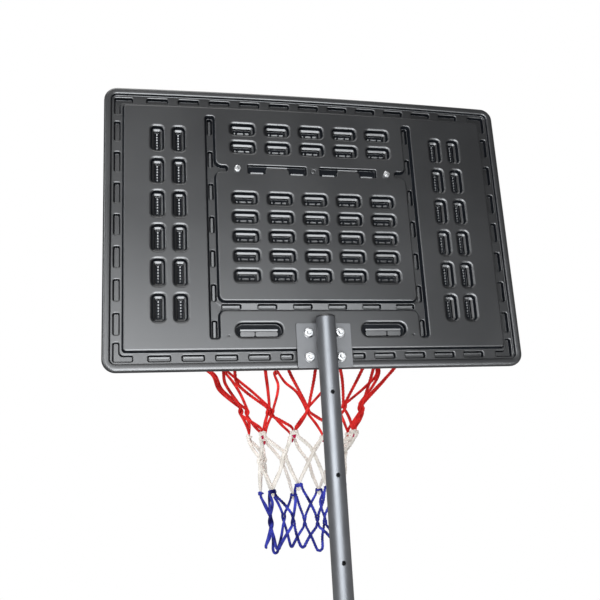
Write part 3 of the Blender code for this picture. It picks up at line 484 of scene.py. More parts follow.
def through_bolt(word, node, seat, bolt_turn, nut_turn, axis, height):
    """A bolt and a nut whose heads seat on both sides of the pole, along X or Y."""
    place = Vector((0, 0, height))
    bolt = hex_bolt(f"{word}_bolt", 0.0030, 0.010, 0.0040, 2 * seat + 0.009, 0.016)
    nut = hexagon(f"{word}_nut", 0.010, 0.0, 0.005, 0.0033)
    for piece, side, turn in ((bolt, seat, bolt_turn), (nut, -seat, nut_turn)):
        place[axis] = side
        place_piece(piece, place, turn)
    fit(bolt, 30, "base", "zinc", zinc, f"{node}_bolt")
    fit(nut, 30, "base", "zinc", zinc, f"{node}_nut")


through_bolt("joint", "pole_joint", 0.0193, ALONG_Y, ALONG_BACK_Y, 1, 0.520)

# Struts.
# Two grey powder-coated steel tubes brace the pole from the rear of the tank. Their ends are pressed flat,
# bent, and bolted through the pole at the top and screwed to the tank's pads at the foot.


def flattened_rod(name, start, start_normal, end, end_normal, radius):
    """A round rod between two bolt places, pressed flat round each of them and bent to its straight run."""
    start, end, start_normal, end_normal = (Vector(point) for point in (start, end, start_normal, end_normal))
    whole = (end - start).normalized()
    first = (whole - start_normal * whole.dot(start_normal)).normalized()
    last = (whole - end_normal * whole.dot(end_normal)).normalized()
    bend_start = start + first * radius * 4.5 + start_normal * radius * 0.7
    bend_end = end - last * radius * 4.5 + end_normal * radius * 0.7
    run = (bend_end - bend_start).normalized()
    wide, thin, round_side = radius * 1.45, 0.0016, radius * 1.03

    def pressed_end(bolt, normal, bend, inward, onward, way):
        """Stations from a flat tip to the round run: place, heading, normal, half width and thickness."""
        made = []
        for along, width, thick in ((-1.55, 0.45, 0.8), (-1.50, 0.60, 1.0), (-1.15, 0.90, 1.0),
                                    (-0.6, 1.0, 1.0), (1.2, 1.0, 1.0), (1.9, 0.99, 1.05)):
            made.append((bolt + inward * radius * along, inward * way, normal, wide * width, thin * thick))
        neck = (bolt + inward * radius * 1.8).lerp(bend, 0.55)
        made.append((neck, inward * way, normal, radius * 1.22, radius * 0.5))
        made.append((bend, (inward + onward) * way, normal, round_side, round_side * 0.96))
        for reach in (1.2, 4):
            made.append((bend + onward * radius * reach, onward * way, normal, round_side, round_side))
        return made

    stations = (pressed_end(start, start_normal, bend_start, first, run, 1)
                + pressed_end(end, end_normal, bend_end, -last, -run, -1)[::-1])
    guide, sides = Vector((0.31, 0.17, 0.93)), 16
    work = bmesh.new()
    rings = []
    for place, heading, normal, half_width, half_thick in stations:
        heading = heading.normalized()
        across = normal.cross(heading).normalized()
        flat = heading.cross(across)
        spoke = (guide - heading * guide.dot(heading)).normalized()
        other = heading.cross(spoke)
        ring = []
        for number in range(sides):
            angle = 2 * math.pi * number / sides
            reach = spoke * math.cos(angle) + other * math.sin(angle)
            ring.append(work.verts.new(place + across * reach.dot(across) * half_width
                                       + flat * reach.dot(flat) * half_thick))
        rings.append(ring)
    work.faces.new(rings[0])
    work.faces.new(rings[-1])
    for near, far in zip(rings, rings[1:]):
        for number in range(sides):
            after = (number + 1) % sides
            work.faces.new((near[number], near[after], far[after], far[number]))
    bmesh.ops.recalc_face_normals(work, faces=work.faces)
    mesh = bpy.data.meshes.new(name)
    work.to_mesh(mesh)
    work.free()
    piece = bpy.data.objects.new(name, mesh)
    bpy.context.collection.objects.link(piece)
    select_only(piece)
    rounding = piece.modifiers.new("rounding", "SUBSURF")
    rounding.levels = 2
    rounding.render_levels = 2
    bpy.ops.object.modifier_apply(modifier="rounding")
    return piece


def domed_bolt(name, radius, head_radius, head, length, thread):
    """A round domed head above Z 0 and a threaded shank below it."""
    turns = [math.pi / 2 * step / 8 for step in range(9)]
    dome = [(head_radius * math.sin(turn), 0.0006 + (head - 0.0006) * math.cos(turn)) for turn in turns]
    return turned(name, dome + [(head_radius * 0.97, 0.0)] + shank_outline(radius, length, thread), 48)


FLAT_HALF, CLEAR = 0.0016, 0.0003
strut_top_z, pad_top = 0.425, 0.146
strut_top_x, strut_foot_z = TUBE_RADIUS + CLEAR + FLAT_HALF, pad_top + CLEAR + FLAT_HALF
strut_screw = domed_bolt("strut_screw", 0.0029, 0.0065, 0.0040, 0.024, 0.018)
for side, word in SIDES:
    strut = flattened_rod(f"pressed_strut_{word}", (side * strut_top_x, 0, strut_top_z), (side, 0, 0),
                          (side * pad_x, pad_y, strut_foot_z), (0, 0, 1), 0.008)
    fit(strut, 60, "base", "pole_paint", pole_paint, f"strut_{word}")
    screw = place_piece(copy_of(strut_screw, f"pad_screw_{word}"),
                        (side * pad_x, pad_y, strut_foot_z + FLAT_HALF + CLEAR))
    fit(screw, 40, "base", "zinc", zinc, f"strut_screw_{word}")
bpy.data.objects.remove(strut_screw)
strut_seat = strut_top_x + FLAT_HALF + CLEAR
through_bolt("strut", "strut_top", strut_seat, ALONG_X, ALONG_BACK_X, 0, strut_top_z)

# Height collar, locking screw and star knob.
# A black moulded collar sleeves the end of the middle tube; a zinc-plated screw with a dog point runs in its
# rear boss, and a six-lobed knob moulded on the screw's end turns it into a hole of the upper tube.


def flat_shape(name, points):
    """A flat face with the given outline."""
    piece = trace(name, [(x, y, 0) for x, y in points])
    bpy.ops.mesh.edge_face_add()
    close_mesh()
    return piece


lock_z = 1.196
sleeve = turned("sleeve", [
    (0.0167, 1.2320), (0.0218, 1.2320), (0.0240, 1.2313), (0.0257, 1.2295), (0.0265, 1.2265),
    (0.0265, 1.1655), (0.0260, 1.1632), (0.0246, 1.1620), (0.0197, 1.1620), (0.0193, 1.1624),
    (0.0193, 1.2103), (0.0163, 1.2103), (0.0163, 1.2316), (0.0167, 1.2320)], 80)
boss = turned("boss", [
    (0.0044, 0.0436), (0.0048, 0.0440), (0.0104, 0.0440), (0.0114, 0.0435), (0.0122, 0.0422),
    (0.0130, 0.0330), (0.0136, 0.0296), (0.0150, 0.0270), (0.0170, 0.0235), (0.0170, 0.0222),
    (0.0044, 0.0222), (0.0044, 0.0436)], 64)
collar = join("moulded_collar", [sleeve, place_piece(boss, (0, 0, lock_z), ALONG_Y)])
fit(collar, 40, "base", "fitting_plastic", fitting_plastic, "height_collar")
lock_thread = thread_outline(0.0040, 0.0226, 0.0640, 0.00125, 0.0006)
dog_point = [(0.0029, 0.0212), (0.0029, 0.0172), (0.0023, 0.0166), (0, 0.0166)]
lock_screw = turned("lock_screw", [(0, 0.0640), (0.0036, 0.0640)] + lock_thread + dog_point, 48)
place_piece(lock_screw, (0, 0, lock_z), ALONG_Y)
fit(lock_screw, 35, "height_screw", "zinc", zinc, "height_screw")
KNOB_RADIUS, SCALLOP_RADIUS, SCALLOP_REACH, LOBES, STAR_POINTS = 0.0225, 0.0085, 0.0270, 6, 144
star = []
for number in range(STAR_POINTS):
    angle = 2 * math.pi * number / STAR_POINTS
    away = (angle + math.pi / LOBES) % (2 * math.pi / LOBES) - math.pi / LOBES
    reach = KNOB_RADIUS
    hollow = SCALLOP_RADIUS ** 2 - (SCALLOP_REACH * math.sin(away)) ** 2
    if hollow > 0:
        reach = min(reach, SCALLOP_REACH * math.cos(away) - math.sqrt(hollow))
    star.append((reach * math.cos(angle), reach * math.sin(angle)))
halves = []
for rises in ([(0.0035, 0.0003)] + [(rise, inset) for inset, rise in fillet(0.0034, 0.0050, 6)],
              [(-0.0020, 0.0003)] + [(rise, inset) for inset, rise in fillet(0.0034, -0.0040, 6)]):
    half = flat_shape("lobes", star)
    open_mesh()
    reach = KNOB_RADIUS
    for rise, inset in rises:
        extrude((0, 0, rise))
        bpy.ops.transform.resize(value=((reach - inset) / reach, (reach - inset) / reach, 1))
        reach -= inset
    close_mesh()
    halves.append(place_piece(half, (0, 0, 0.0660)))
hub = turned("hub", [
    (0, 0.0760), (0.0080, 0.0758), (0.0128, 0.0751), (0.0142, 0.0742), (0.0142, 0.0620), (0.0100, 0.0585),
    (0.0092, 0.0560), (0.0090, 0.0528), (0.0087, 0.0525), (0.0043, 0.0525), (0.0043, 0.0643),
    (0, 0.0643)], 64)
knob = join("star_knob", halves + [hub])
open_mesh()
weld(0.000001)
face_outwards()
close_mesh()
place_piece(knob, (0, 0, lock_z), ALONG_Y)
fit(knob, 45, "height_knob", "fitting_plastic", fitting_plastic, "height_knob")

# Upper tube, end cap and rear plate.
# The sliding grey powder-coated steel tube has a row of punched holes and a pressed-in black plastic cap;
# a flat steel plate in the same paint is welded to its top with one bead along each side.


def thicken(piece, thick, rounding):
    """Raise a flat shape to a plate and round the edges of both its faces."""
    select_only(piece)
    open_mesh()
    extrude((0, 0, thick))
    face_outwards()
    select_edges(piece, lambda edge: edge.is_manifold and edge.calc_face_angle() > math.radians(60)
                 and abs(edge.verts[0].co.z - edge.verts[1].co.z) < 0.000001)
    bpy.ops.mesh.bevel(affect="EDGES", offset=rounding, segments=3)
    close_mesh()
    return piece


def as_mesh(name, data):
    """Make an object of a curve, and a mesh of the object."""
    piece = bpy.data.objects.new(name, data)
    bpy.context.collection.objects.link(piece)
    select_only(piece)
    bpy.ops.object.convert(target="MESH")
    return bpy.context.object


def wire(name, points, radius, sides, swell=0.0):
    """A round wire along a smooth curve, with ripples where it swells, as a mesh."""
    data = bpy.data.curves.new(name, "CURVE")
    data.dimensions = "3D"
    data.bevel_depth = radius
    data.bevel_resolution = sides
    data.use_fill_caps = True
    data.resolution_u = 8
    spline = data.splines.new("NURBS")
    spline.points.add(len(points) - 1)
    for number, (point, place) in enumerate(zip(spline.points, points)):
        point.co = (*place, 1.0)
        point.radius = 1.0 + swell * (number % 2)
    spline.order_u = 4
    spline.use_endpoint_u = True
    return as_mesh(name, data)


upper_low, upper_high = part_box("upper_pole_tube")
UPPER_RADIUS, UPPER_BORE, UPPER_LOW, UPPER_HIGH = 0.016, 0.0144, upper_low.z, upper_high.z
TOP_HOLE, HOLE_PITCH, EDGE = 1.586, 0.130, 0.0004
holes = [TOP_HOLE - HOLE_PITCH * number for number in range(6)]
ring_heights = sorted(height + reach for height in holes for reach in (-0.008, -0.0052, 0.0052, 0.008))
outline = ([(UPPER_RADIUS - EDGE, UPPER_LOW), (UPPER_RADIUS, UPPER_LOW + EDGE)]
           + [(UPPER_RADIUS, height) for height in ring_heights]
           + [(UPPER_RADIUS, UPPER_HIGH - EDGE), (UPPER_RADIUS - EDGE, UPPER_HIGH), (UPPER_BORE, UPPER_HIGH)]
           + [(UPPER_BORE, height) for height in reversed(ring_heights)]
           + [(UPPER_BORE, UPPER_LOW), (UPPER_RADIUS - EDGE, UPPER_LOW)])
upper_tube = turned("punched_tube", outline, 96)
punch = turned("punch", [(0, 0.0200), (0.0056, 0.0200), (0.0039, 0.0161), (0.0033, 0.0153), (0.0033, -0.0153),
                         (0.0039, -0.0161), (0.0056, -0.0200), (0, -0.0200)], 32)
punches = [place_piece(copy_of(punch, "punch"), (0, 0, height), ALONG_Y) for height in holes]
cut(upper_tube, join("punches", punches))
bpy.data.objects.remove(punch)
fit(upper_tube, 28, "head", "pole_paint", pole_paint, "upper_pole_tube")
cap_low = UPPER_HIGH + CLEAR
top_cap = turned("tube_plug", [
    (0, cap_low + 0.0045), (0.0060, cap_low + 0.0044), (0.0105, cap_low + 0.0040), (0.0135, cap_low + 0.0032),
    (0.0152, cap_low + 0.0020), (0.0159, cap_low + 0.0008), (0.0159, cap_low), (0.0141, cap_low),
    (0.0141, cap_low - 0.0150), (0.0131, cap_low - 0.0160), (0, cap_low - 0.0160)], 72)
fit(top_cap, 40, "head", "fitting_plastic", fitting_plastic, "pole_top_cap")
plate_low, plate_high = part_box("rear_bracket")
plate_size = plate_high - plate_low
STANDING = (math.pi / 2, 0, math.pi)
plate = thicken(pressed("plate", plate_size.x, plate_size.z, 0.0030, (0, 0, 0), ()), plate_size.y, 0.0007)
place_piece(plate, (0, plate_low.y, (plate_low.z + plate_high.z) / 2), STANDING)
BEAD_END, BEAD_PITCH, BEAD_RADIUS = 0.004, 0.0016, 0.0015
bead_x, bead_y = 0.0088, -0.0148
bead_heights = [plate_low.z + BEAD_END + BEAD_PITCH * step
                for step in range(round((plate_size.z - 2 * BEAD_END) / BEAD_PITCH))]
beads = [wire("bead", [(side * bead_x, bead_y, height) for height in bead_heights], BEAD_RADIUS, 3, 0.22)
         for side in (-1, 1)]
rear_plate = join("welded_plate", [plate] + beads)
plate_paint = surface("plate_paint", ((0.050, 0.0525, 0.0580), (0.060, 0.0630, 0.0690)), 60.0, (0.50, 0.58),
                      specular=0.42, grain=(1500.0, 0.12, 0.0002))
fit(rear_plate, 40, "head", "pole_paint", plate_paint, "rear_bracket")

# Backboard.
# One hollow blow moulding in satin black polyethylene. A half-round lip and an edge channel run round
# a flat back, whose channels and stepped pockets weld it to the front sheet; the front has printed lines.


def repeat(pattern, places):
    """Copy a modelled shape to each place, each copy with its own mesh."""
    made = []
    for x, y in places:
        copy = copy_of(pattern, pattern.name)
        copy.location = (x, y, 0)
        made.append(copy)
    bpy.data.objects.remove(pattern)
    return made


board_low, board_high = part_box("backboard")
BOARD_CROWN = 0.005
BOARD_WIDTH = board_high.x - board_low.x
BOARD_HEIGHT = board_high.z - board_low.z - BOARD_CROWN
BOARD_THICK = board_high.y - board_low.y
BOARD_CORNER = 0.022
EDGE_FLOOR = -0.008
CHANNEL_FLOOR = -0.0083
RECESS_FLOOR = -0.0070
PARTING = -BOARD_THICK / 2
middle_v = BOARD_HEIGHT / 2

# The back is modelled flat: x to the left as the court sees it, y up from the bottom edge, z out of the back.


def shell_half(name, inset, corner, level, steps, open_floor):
    """A plate the size of the board, with points along its crowned top edge, drawn in ring by ring."""
    half = pressed(name, BOARD_WIDTH - 2 * inset, BOARD_HEIGHT - 2 * inset, corner, (0, middle_v, level), (),
                   8)
    top = BOARD_HEIGHT - inset
    open_mesh()
    select_edges(half, lambda edge: all(abs(end.co.y - top) < 0.00001 for end in edge.verts))
    bpy.ops.mesh.subdivide(number_cuts=23)
    draw_in(steps, open_floor)
    return half


lip_rise = -0.0015 - PARTING
lip_steps = ([(0.0003, 0.0025)] + fillet(0.0050, lip_rise - 0.0025, 7) + [(0.0020, 0.0), (0.0030, -0.0003)]
             + shoulder(0.0022, -0.0024, 5) + [(0.0003, -0.0030)] + fillet(0.0008, -0.0008, 2)
             + [(0.0006, 0.0)])
front_steps = [(0.0003, -0.0035)] + fillet(0.0090, PARTING + 0.0035, 7) + [(0.003, 0.0)]
plateau_steps = ([(0.0006, 0.0)] + shoulder(0.0003, 0.0004, 2) + [(0.0022, 0.0048)]
                 + fillet(0.0026, 0.0028, 6) + [(0.0008, 0.0)])
shapes = [
    shell_half("lip", 0.0, BOARD_CORNER, PARTING, lip_steps, True),
    shell_half("front", 0.0, BOARD_CORNER, PARTING, front_steps, False),
    shell_half("plateau", 0.0300, 0.008, EDGE_FLOOR, plateau_steps, True),
]

# Pockets: a round rim, a wall, a ledge with a round rim, a well, and three thin pads welded to the front.
RIM_DEEP, WALL_DEEP, FOOT_DEEP = -0.0040, -0.0048, -0.0003
pocket_steps = ([(0.0006, 0.0)] + shoulder(0.0040, RIM_DEEP, 7) + [(0.0008, WALL_DEEP)]
                + fillet(0.0003, FOOT_DEEP, 2) + [(0.0006, 0.0), (0.0003, -0.0001), (0.0030, -0.0018),
                                                  (0.0004, -0.0006), (0.0004, -0.0034)]
                + fillet(0.0005, -0.0005, 2))
LEDGE = RIM_DEEP + WALL_DEEP + FOOT_DEEP


def depth_of(steps):
    """How far ring steps sink."""
    return sum(rise for _, rise in steps)


POCKET_FLOOR = depth_of(pocket_steps)
PAD_SLOPE, PAD_HALF = 0.60, 0.0014
wide_pads = ((-0.0122, -0.0022, 0.0028), (-0.0022, -0.0024, 0.0108), (0.0096, -0.0022, 0.0070))
tall_pads = [(0, 0.0125 - 0.0051 * step, 0.0026) for step in range(6)]


def wedge(x, y, wide, half, level, lift, slope):
    """A small pad that faces a little down."""
    pad = pressed("pad", wide, 2 * half, 0.6 * min(half, wide / 2), (x, y, level),
                  [(0.0001, lift), (0.0002, 0.0001)], 3)
    for point in pad.data.vertices:
        if point.co.z > level + 0.0001:
            point.co.z += slope * (point.co.y - y + half)
    return pad


def pocket(name, width, height, pads):
    """One stepped pocket, with small pads on its floor."""
    parts = [pressed(name, width, height, 0.0115, (0, 0, 0), pocket_steps, 6, True)]
    parts += [wedge(x, y, wide, PAD_HALF, POCKET_FLOOR, 0.0003, PAD_SLOPE) for x, y, wide in pads]
    return join(name, parts)


column_pitch, rows = 0.06175, [0.4278, 0.3935] + [0.2979 - 0.0347 * row for row in range(5)]
wide_places = [(column * column_pitch, row) for column in range(-2, 3) for row in rows]
shapes += repeat(pocket("wide_pocket", 0.0525, 0.0305, wide_pads), wide_places)
tall_places = [(side * x, 0.4036 - 0.0599 * row) for side in (-1, 1) for x in (0.2347, 0.2709)
               for row in range(6)]
shapes += repeat(pocket("tall_pocket", 0.0302, 0.0545, tall_pads), tall_places)

# Short pockets in the floor of the edge channel, and an L in each corner.
dash_steps = [(0.0003, 0.0)] + shoulder(0.0016, -0.0016, 5) + [(0.0012, -0.0052)] + fillet(0.0004, -0.0004, 2)
DASH_FLOOR = EDGE_FLOOR + depth_of(dash_steps)
DASH_LONG, DASH_WIDE, DASH_CORNER, DASH_PITCH = 0.0400, 0.0135, 0.0046, 0.054
dash_level = (0, 0, EDGE_FLOOR)


def dash(name, width):
    """One short pocket at the bottom edge, with a bar on its floor."""
    sunk = pressed(name, width, DASH_WIDE, DASH_CORNER, dash_level, dash_steps, 4, True)
    return join(name, [sunk, wedge(0, 0.0012, width - 0.0086, 0.0013, DASH_FLOOR, 0.0003, 0.42)])


level_dash = dash("level_dash", DASH_LONG)
from_edge = 0.0221
shapes += repeat(level_dash, [(side * DASH_PITCH * step, from_edge) for side in (-1, 1)
                              for step in (2, 3, 4, 5)])
top_dash = pressed("top_dash", DASH_LONG, DASH_WIDE, DASH_CORNER, dash_level, dash_steps, 4)
shapes += repeat(top_dash, [(DASH_PITCH * step, BOARD_HEIGHT - from_edge) for step in range(-5, 6)])
short_dash = dash("short_dash", 0.0250)
shapes += repeat(short_dash, [(side * 0.0622, from_edge) for side in (-1, 1)])
upright_dash = pressed("upright_dash", 0.0138, DASH_LONG, 0.0048, dash_level, dash_steps, 4)
edge_u = BOARD_WIDTH / 2 - 0.0224
shapes += repeat(upright_dash, [(side * edge_u, 0.248 + 0.0563 * step) for side in (-1, 1)
                                for step in range(-3, 4)])


def at(value, target):
    """Whether a coordinate lies at a target."""
    return abs(value - target) < 0.00001


def pull(piece, test, run):
    """Extrude the edges whose two ends pass a test of their x and y."""
    select_edges(piece, lambda edge: all(test(*end.co.xy) for end in edge.verts))
    extrude(run)


def round_corners(corner, arc):
    """Make the faces being shaped one face, and round its corners."""
    take_all()
    bpy.ops.mesh.dissolve_limited(angle_limit=0.01)
    take_all()
    bpy.ops.mesh.bevel(affect="VERTICES", offset=corner, segments=arc)


def corner_pocket(side_u, side_v):
    """An L-shaped pocket in one corner of the edge channel."""
    near, far, width = 0.0156, 0.0505, DASH_WIDE
    piece = rectangle("corner_pocket", width, width, (near + width / 2, near + width / 2, 0))
    bend, reach = near + width, far - near - width
    pull(piece, lambda x, y: at(x, bend) and y < bend + width / 2, (reach, 0, 0))
    pull(piece, lambda x, y: at(y, bend) and x < bend + width / 2, (0, reach, 0))
    round_corners(0.0048, 4)
    draw_in(dash_steps)
    piece.scale = (side_u, side_v, 1)
    return place_piece(piece, (-side_u * BOARD_WIDTH / 2, middle_v - side_v * BOARD_HEIGHT / 2, EDGE_FLOOR))


shapes += [corner_pocket(side_u, side_v) for side_u in (-1, 1) for side_v in (-1, 1)]

# The channels: two uprights, a lower cross channel and two stubs of the upper one, as one sunk outline.
upright_u, channel_wide, cross_wide, stub_wide = 0.1805, 0.0215, 0.0215, 0.0165
upright_low, upright_high, cross_v, stub_v, stub_end = 0.049, 0.453, 0.1075, 0.352, 0.149
channel_steps = ([(0.0004, 0.0)] + shoulder(0.0020, -0.0020, 6) + [(0.0026, -0.0060)]
                 + fillet(0.0003, -0.0003, 2))


def channel_outline():
    """The channels as one flat face, extruded edge by edge from the foot of one upright."""
    levels = (cross_v - cross_wide / 2, cross_v + cross_wide / 2, stub_v - stub_wide / 2,
              stub_v + stub_wide / 2, upright_high)
    foot = levels[0] - upright_low
    inner, near = upright_u - channel_wide / 2, 0.001
    piece = rectangle("channels", channel_wide, foot, (-upright_u, upright_low + foot / 2, 0))
    for low, high in zip(levels, levels[1:]):
        pull(piece, lambda u, v: at(v, low), (0, high - low, 0))
    pull(piece, lambda u, v: at(u, -inner) and levels[0] - near < v < levels[1] + near, (2 * inner, 0, 0))
    pull(piece, lambda u, v: at(u, inner), (channel_wide, 0, 0))
    for low, high in zip(levels[1:], levels[2:]):
        pull(piece, lambda u, v: at(v, low) and u > inner - near, (0, high - low, 0))
    pull(piece, lambda u, v: at(v, levels[0]) and u > inner - near, (0, -foot, 0))
    for side in (-1, 1):
        pull(piece, lambda u, v: at(u, side * inner) and levels[2] - near < v < levels[3] + near,
             (-side * (inner - stub_end), 0, 0))
    weld(0.00001)
    round_corners(0.0075, 5)
    draw_in(channel_steps, True)
    return piece


shapes.append(channel_outline())
slot_steps = [(0.0002, 0.0)] + shoulder(0.0007, -0.0007, 3) + [(0.0014, -0.0052)] + fillet(0.0004, -0.0004, 2)
SLOT_FLOOR = CHANNEL_FLOOR + depth_of(slot_steps)


def slot(name, width, height, corner, bar_slope):
    """One slot in the floor of a channel, with a bar on its floor."""
    sunk = pressed(name, width, height, corner, (0, 0, CHANNEL_FLOOR), slot_steps, 4, True)
    bar = wedge(0, 0, width - 0.0066, height / 2 - 0.0033, SLOT_FLOOR, 0.0003, bar_slope)
    return join(name, [sunk, bar])


upright_slot = slot("upright_slot", 0.0106, 0.0325, 0.0045, 0.10)
slot_heights = (0.069, 0.131, 0.1905, 0.251, 0.311, 0.371, 0.432)
slot_shift = 0.0001
shapes += repeat(upright_slot, [(side * upright_u + slot_shift * (number % 2), v) for side in (-1, 1)
                                for number, v in enumerate(slot_heights)])
cross_slot = slot("cross_slot", 0.0350, 0.0106, 0.0036, 0.27)
shapes += repeat(cross_slot, [(side * u, cross_v) for side in (-1, 1) for u in (0.0304, 0.0913, 0.152)])

# Two long recesses, each a groove over two legs, two ovals with a bar each, a boss and two pin marks.
recess_steps = ([(0.0004, 0.0)] + shoulder(0.0016, -0.0016, 4) + [(0.0006, -0.0050)]
                + fillet(0.0004, -0.0004, 2))
long_u, long_v = 0.0643, 0.352
GROOVE, LEG, LEG_WIDE, LAND_WIDE = 0.0094, 0.0110, 0.0350, 0.0385


def long_recess():
    """A recess in the shape of a wide gate, with a light bar in the groove and one in each leg."""
    piece = rectangle("long_recess", LEG_WIDE, GROOVE, (-(LEG_WIDE + LAND_WIDE) / 2, LEG / 2, 0))
    for start, run in ((-LAND_WIDE / 2, LAND_WIDE), (LAND_WIDE / 2, LEG_WIDE)):
        pull(piece, lambda x, y: at(x, start), (run, 0, 0))
    foot = LEG / 2 - GROOVE / 2
    for side in (-1, 1):
        pull(piece, lambda x, y: at(y, foot) and side * x > LAND_WIDE / 2 - 0.00001, (0, -LEG, 0))
    round_corners(0.0040, 4)
    draw_in(recess_steps, True)
    bars = [wedge(0, 0.0060, 0.0370, 0.0010, RECESS_FLOOR, 0.0020, 0.50)]
    bars += [wedge(side * 0.0358, -0.0052, 0.0225, 0.0016, RECESS_FLOOR, 0.0004, 0.45) for side in (-1, 1)]
    return join("long_recess", [piece] + bars)


shapes += repeat(long_recess(), [(side * long_u, long_v) for side in (-1, 1)])
oval_u, oval_v = 0.1076, 0.066
OVAL_FLOOR = -0.0120
oval_steps = [(0.0005, 0.0)] + shoulder(0.0034, -0.0034, 7) + [(0.0003, -0.0078)] + fillet(0.0008, -0.0008, 2)
for side in (-1, 1):
    oval = pressed("oval", 0.0860, 0.0320, 0.0158, (0, 0, 0), oval_steps, 10, True)
    strip = wedge(0, 0.0006, 0.0630, 0.0016, OVAL_FLOOR, 0.0040, 0.42)
    blocks = [wedge(side * x, -0.0056, wide, 0.0041, OVAL_FLOOR, 0.0036, 0.09)
              for x, wide in ((0.0192, 0.0240), (-0.0127, 0.0372))]
    shapes += repeat(join("oval", [oval, strip] + blocks), [(side * oval_u, oval_v)])
ring_mark = [(0.0007, -0.0006), (0.0010, 0.0), (0.0007, 0.0006), (0.0006, 0.0)]
shapes.append(pressed_round("boss", 0.0050, (0, long_v, 0), ring_mark))
pin = pressed_round("pin", 0.0020, (0, 0, 0), [(0.0004, -0.0003), (0.0001, -0.0040)])
shapes += repeat(pin, [(side * 0.1590, 0.0560) for side in (-1, 1)])

board = join("moulded_board", shapes)
fill_lands(board, (0.0, EDGE_FLOOR, DASH_FLOOR, CHANNEL_FLOOR, SLOT_FLOOR, RECESS_FLOOR, POCKET_FLOOR,
                   OVAL_FLOOR))
CROSS_TILT = 0.13
for point in board.data.vertices:
    in_cross = abs(point.co.x) < upright_u - channel_wide / 2 and abs(point.co.y - cross_v) < cross_wide / 2
    if in_cross and point.co.z < CHANNEL_FLOOR + 0.00001 and point.co.z > -BOARD_THICK + 0.001:
        point.co.z += CROSS_TILT * (point.co.y - cross_v)
crown_low, crown_high = BOARD_HEIGHT - 0.0435, BOARD_HEIGHT - 0.035
for point in board.data.vertices:
    ramp = min(max((point.co.y - crown_low) / (crown_high - crown_low), 0.0), 1.0)
    point.co.y += BOARD_CROWN * (1 - (2 * point.co.x / BOARD_WIDTH) ** 2) * ramp * ramp * (3 - 2 * ramp)
place_piece(board, (0, board_high.y, board_low.z), STANDING)


def box_line(tree, place, half, corner, width):
    """A value of 1 on a line that follows a box with round corners, about a place in X and Z."""
    def math_node(operation, *values):
        return add_node(tree, "Math", dict(enumerate(values)), operation=operation).outputs[0]

    where = add_node(tree, "TexCoord", {})
    parts = add_node(tree, "SeparateXYZ", {0: where.outputs["Object"]})
    reach = []
    for axis, middle, extent in (("X", place[0], half[0]), ("Z", place[1], half[1])):
        away = math_node("ABSOLUTE", math_node("SUBTRACT", parts.outputs[axis], middle))
        reach.append(math_node("SUBTRACT", away, extent - corner))
    beyond = [math_node("POWER", math_node("MAXIMUM", value, 0.0), 2.0) for value in reach]
    outside = math_node("SQRT", math_node("ADD", *beyond))
    inside = math_node("MINIMUM", math_node("MAXIMUM", *reach), 0.0)
    gap = math_node("ABSOLUTE", math_node("SUBTRACT", math_node("ADD", outside, inside), corner))
    on_line = math_node("LESS_THAN", gap, width / 2)
    on_front = math_node("LESS_THAN", parts.outputs["Y"], board_low.y + 0.0004)
    return math_node("MULTIPLY", on_line, on_front)


board_plastic = surface("board_plastic", ((0.0092, 0.0097, 0.0107), (0.0108, 0.0113, 0.0123)), 5.0,
                        (0.32, 0.38), specular=0.4, grain=(520.0, 0.05, 0.0004))
tree = board_plastic.node_tree
shader = tree.nodes["Principled BSDF"]
plain = shader.inputs["Base Color"].links[0].from_socket
board_middle = (board_low.z + board_high.z - BOARD_CROWN) / 2
LINE, BORDER = 0.016, 0.024
border = box_line(tree, (0, board_middle), (BOARD_WIDTH / 2 - BORDER, BOARD_HEIGHT / 2 - BORDER), 0.014, LINE)
target = box_line(tree, (0, 1.846), (0.150, 0.112), 0.003, LINE)
both = add_node(tree, "Math", {0: border, 1: target}, operation="MAXIMUM")
line_white = (0.78, 0.78, 0.77, 1.0)
paint = add_node(tree, "Mix", {"Factor": both.outputs[0], "A": plain, "B": line_white}, data_type="RGBA")
tree.links.new(paint.outputs["Result"], shader.inputs["Base Color"])
fit(board, 50, "head", "board_plastic", board_plastic, "backboard")
# Painted shade: every steep face, the board's edges included, and the ledges and floors of the wells take a
# darker, bluish copy of the board plastic with almost no gloss, standing in for the shade in the recesses.
well_plastic = surface("well_plastic", ((0.0062, 0.0074, 0.0098), (0.0082, 0.0098, 0.0128)), 40.0,
                       (0.38, 0.44), specular=0.03, grain=(520.0, 0.10, 0.0004))
board.data.materials.append(well_plastic)
SHADED_WELL_FLOORS, WALL_SLOPE = (LEDGE, POCKET_FLOOR, OVAL_FLOOR, RECESS_FLOOR, SLOT_FLOOR), 0.42
for face in board.data.polygons:
    level = face.center.y - board_high.y
    well = min(abs(level - floor) for floor in SHADED_WELL_FLOORS) < 0.00005
    face.material_index = int(well or abs(face.normal.y) < WALL_SLOPE)

# Rim bracket, board bolts and nuts.
# A red powder-coated steel plate with two welded fins carries the ring on the board's front; four
# zinc-plated domed bolts run through it, the board and the rear plate into flanged nuts.
rim_paint = surface("rim_paint", ((0.50, 0.016, 0.013), (0.58, 0.022, 0.017)), 30.0, (0.27, 0.36),
                    grain=(1300.0, 0.12, 0.0002))
SHEET = 0.003
front_y = board_low.y
bracket_low, bracket_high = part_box("rim_bracket")
bracket_rear = front_y - CLEAR
bracket_size = bracket_high - bracket_low
bracket_plate = thicken(pressed("bracket_plate", bracket_size.x, bracket_size.z, 0.006, (0, 0, 0), (), 6),
                        SHEET, 0.0007)
place_piece(bracket_plate, (0, bracket_rear, (bracket_low.z + bracket_high.z) / 2), ALONG_BACK_Y)
fin_x, fin_seat = 0.042, 1.7097
fin_points = ((0.0419, 1.648), (0.0419, fin_seat), (0.0792, fin_seat), (0.0792, fin_seat - 0.009))
fin_bead_y, fin_bead_low = -0.0433, 1.651
fin_parts = []
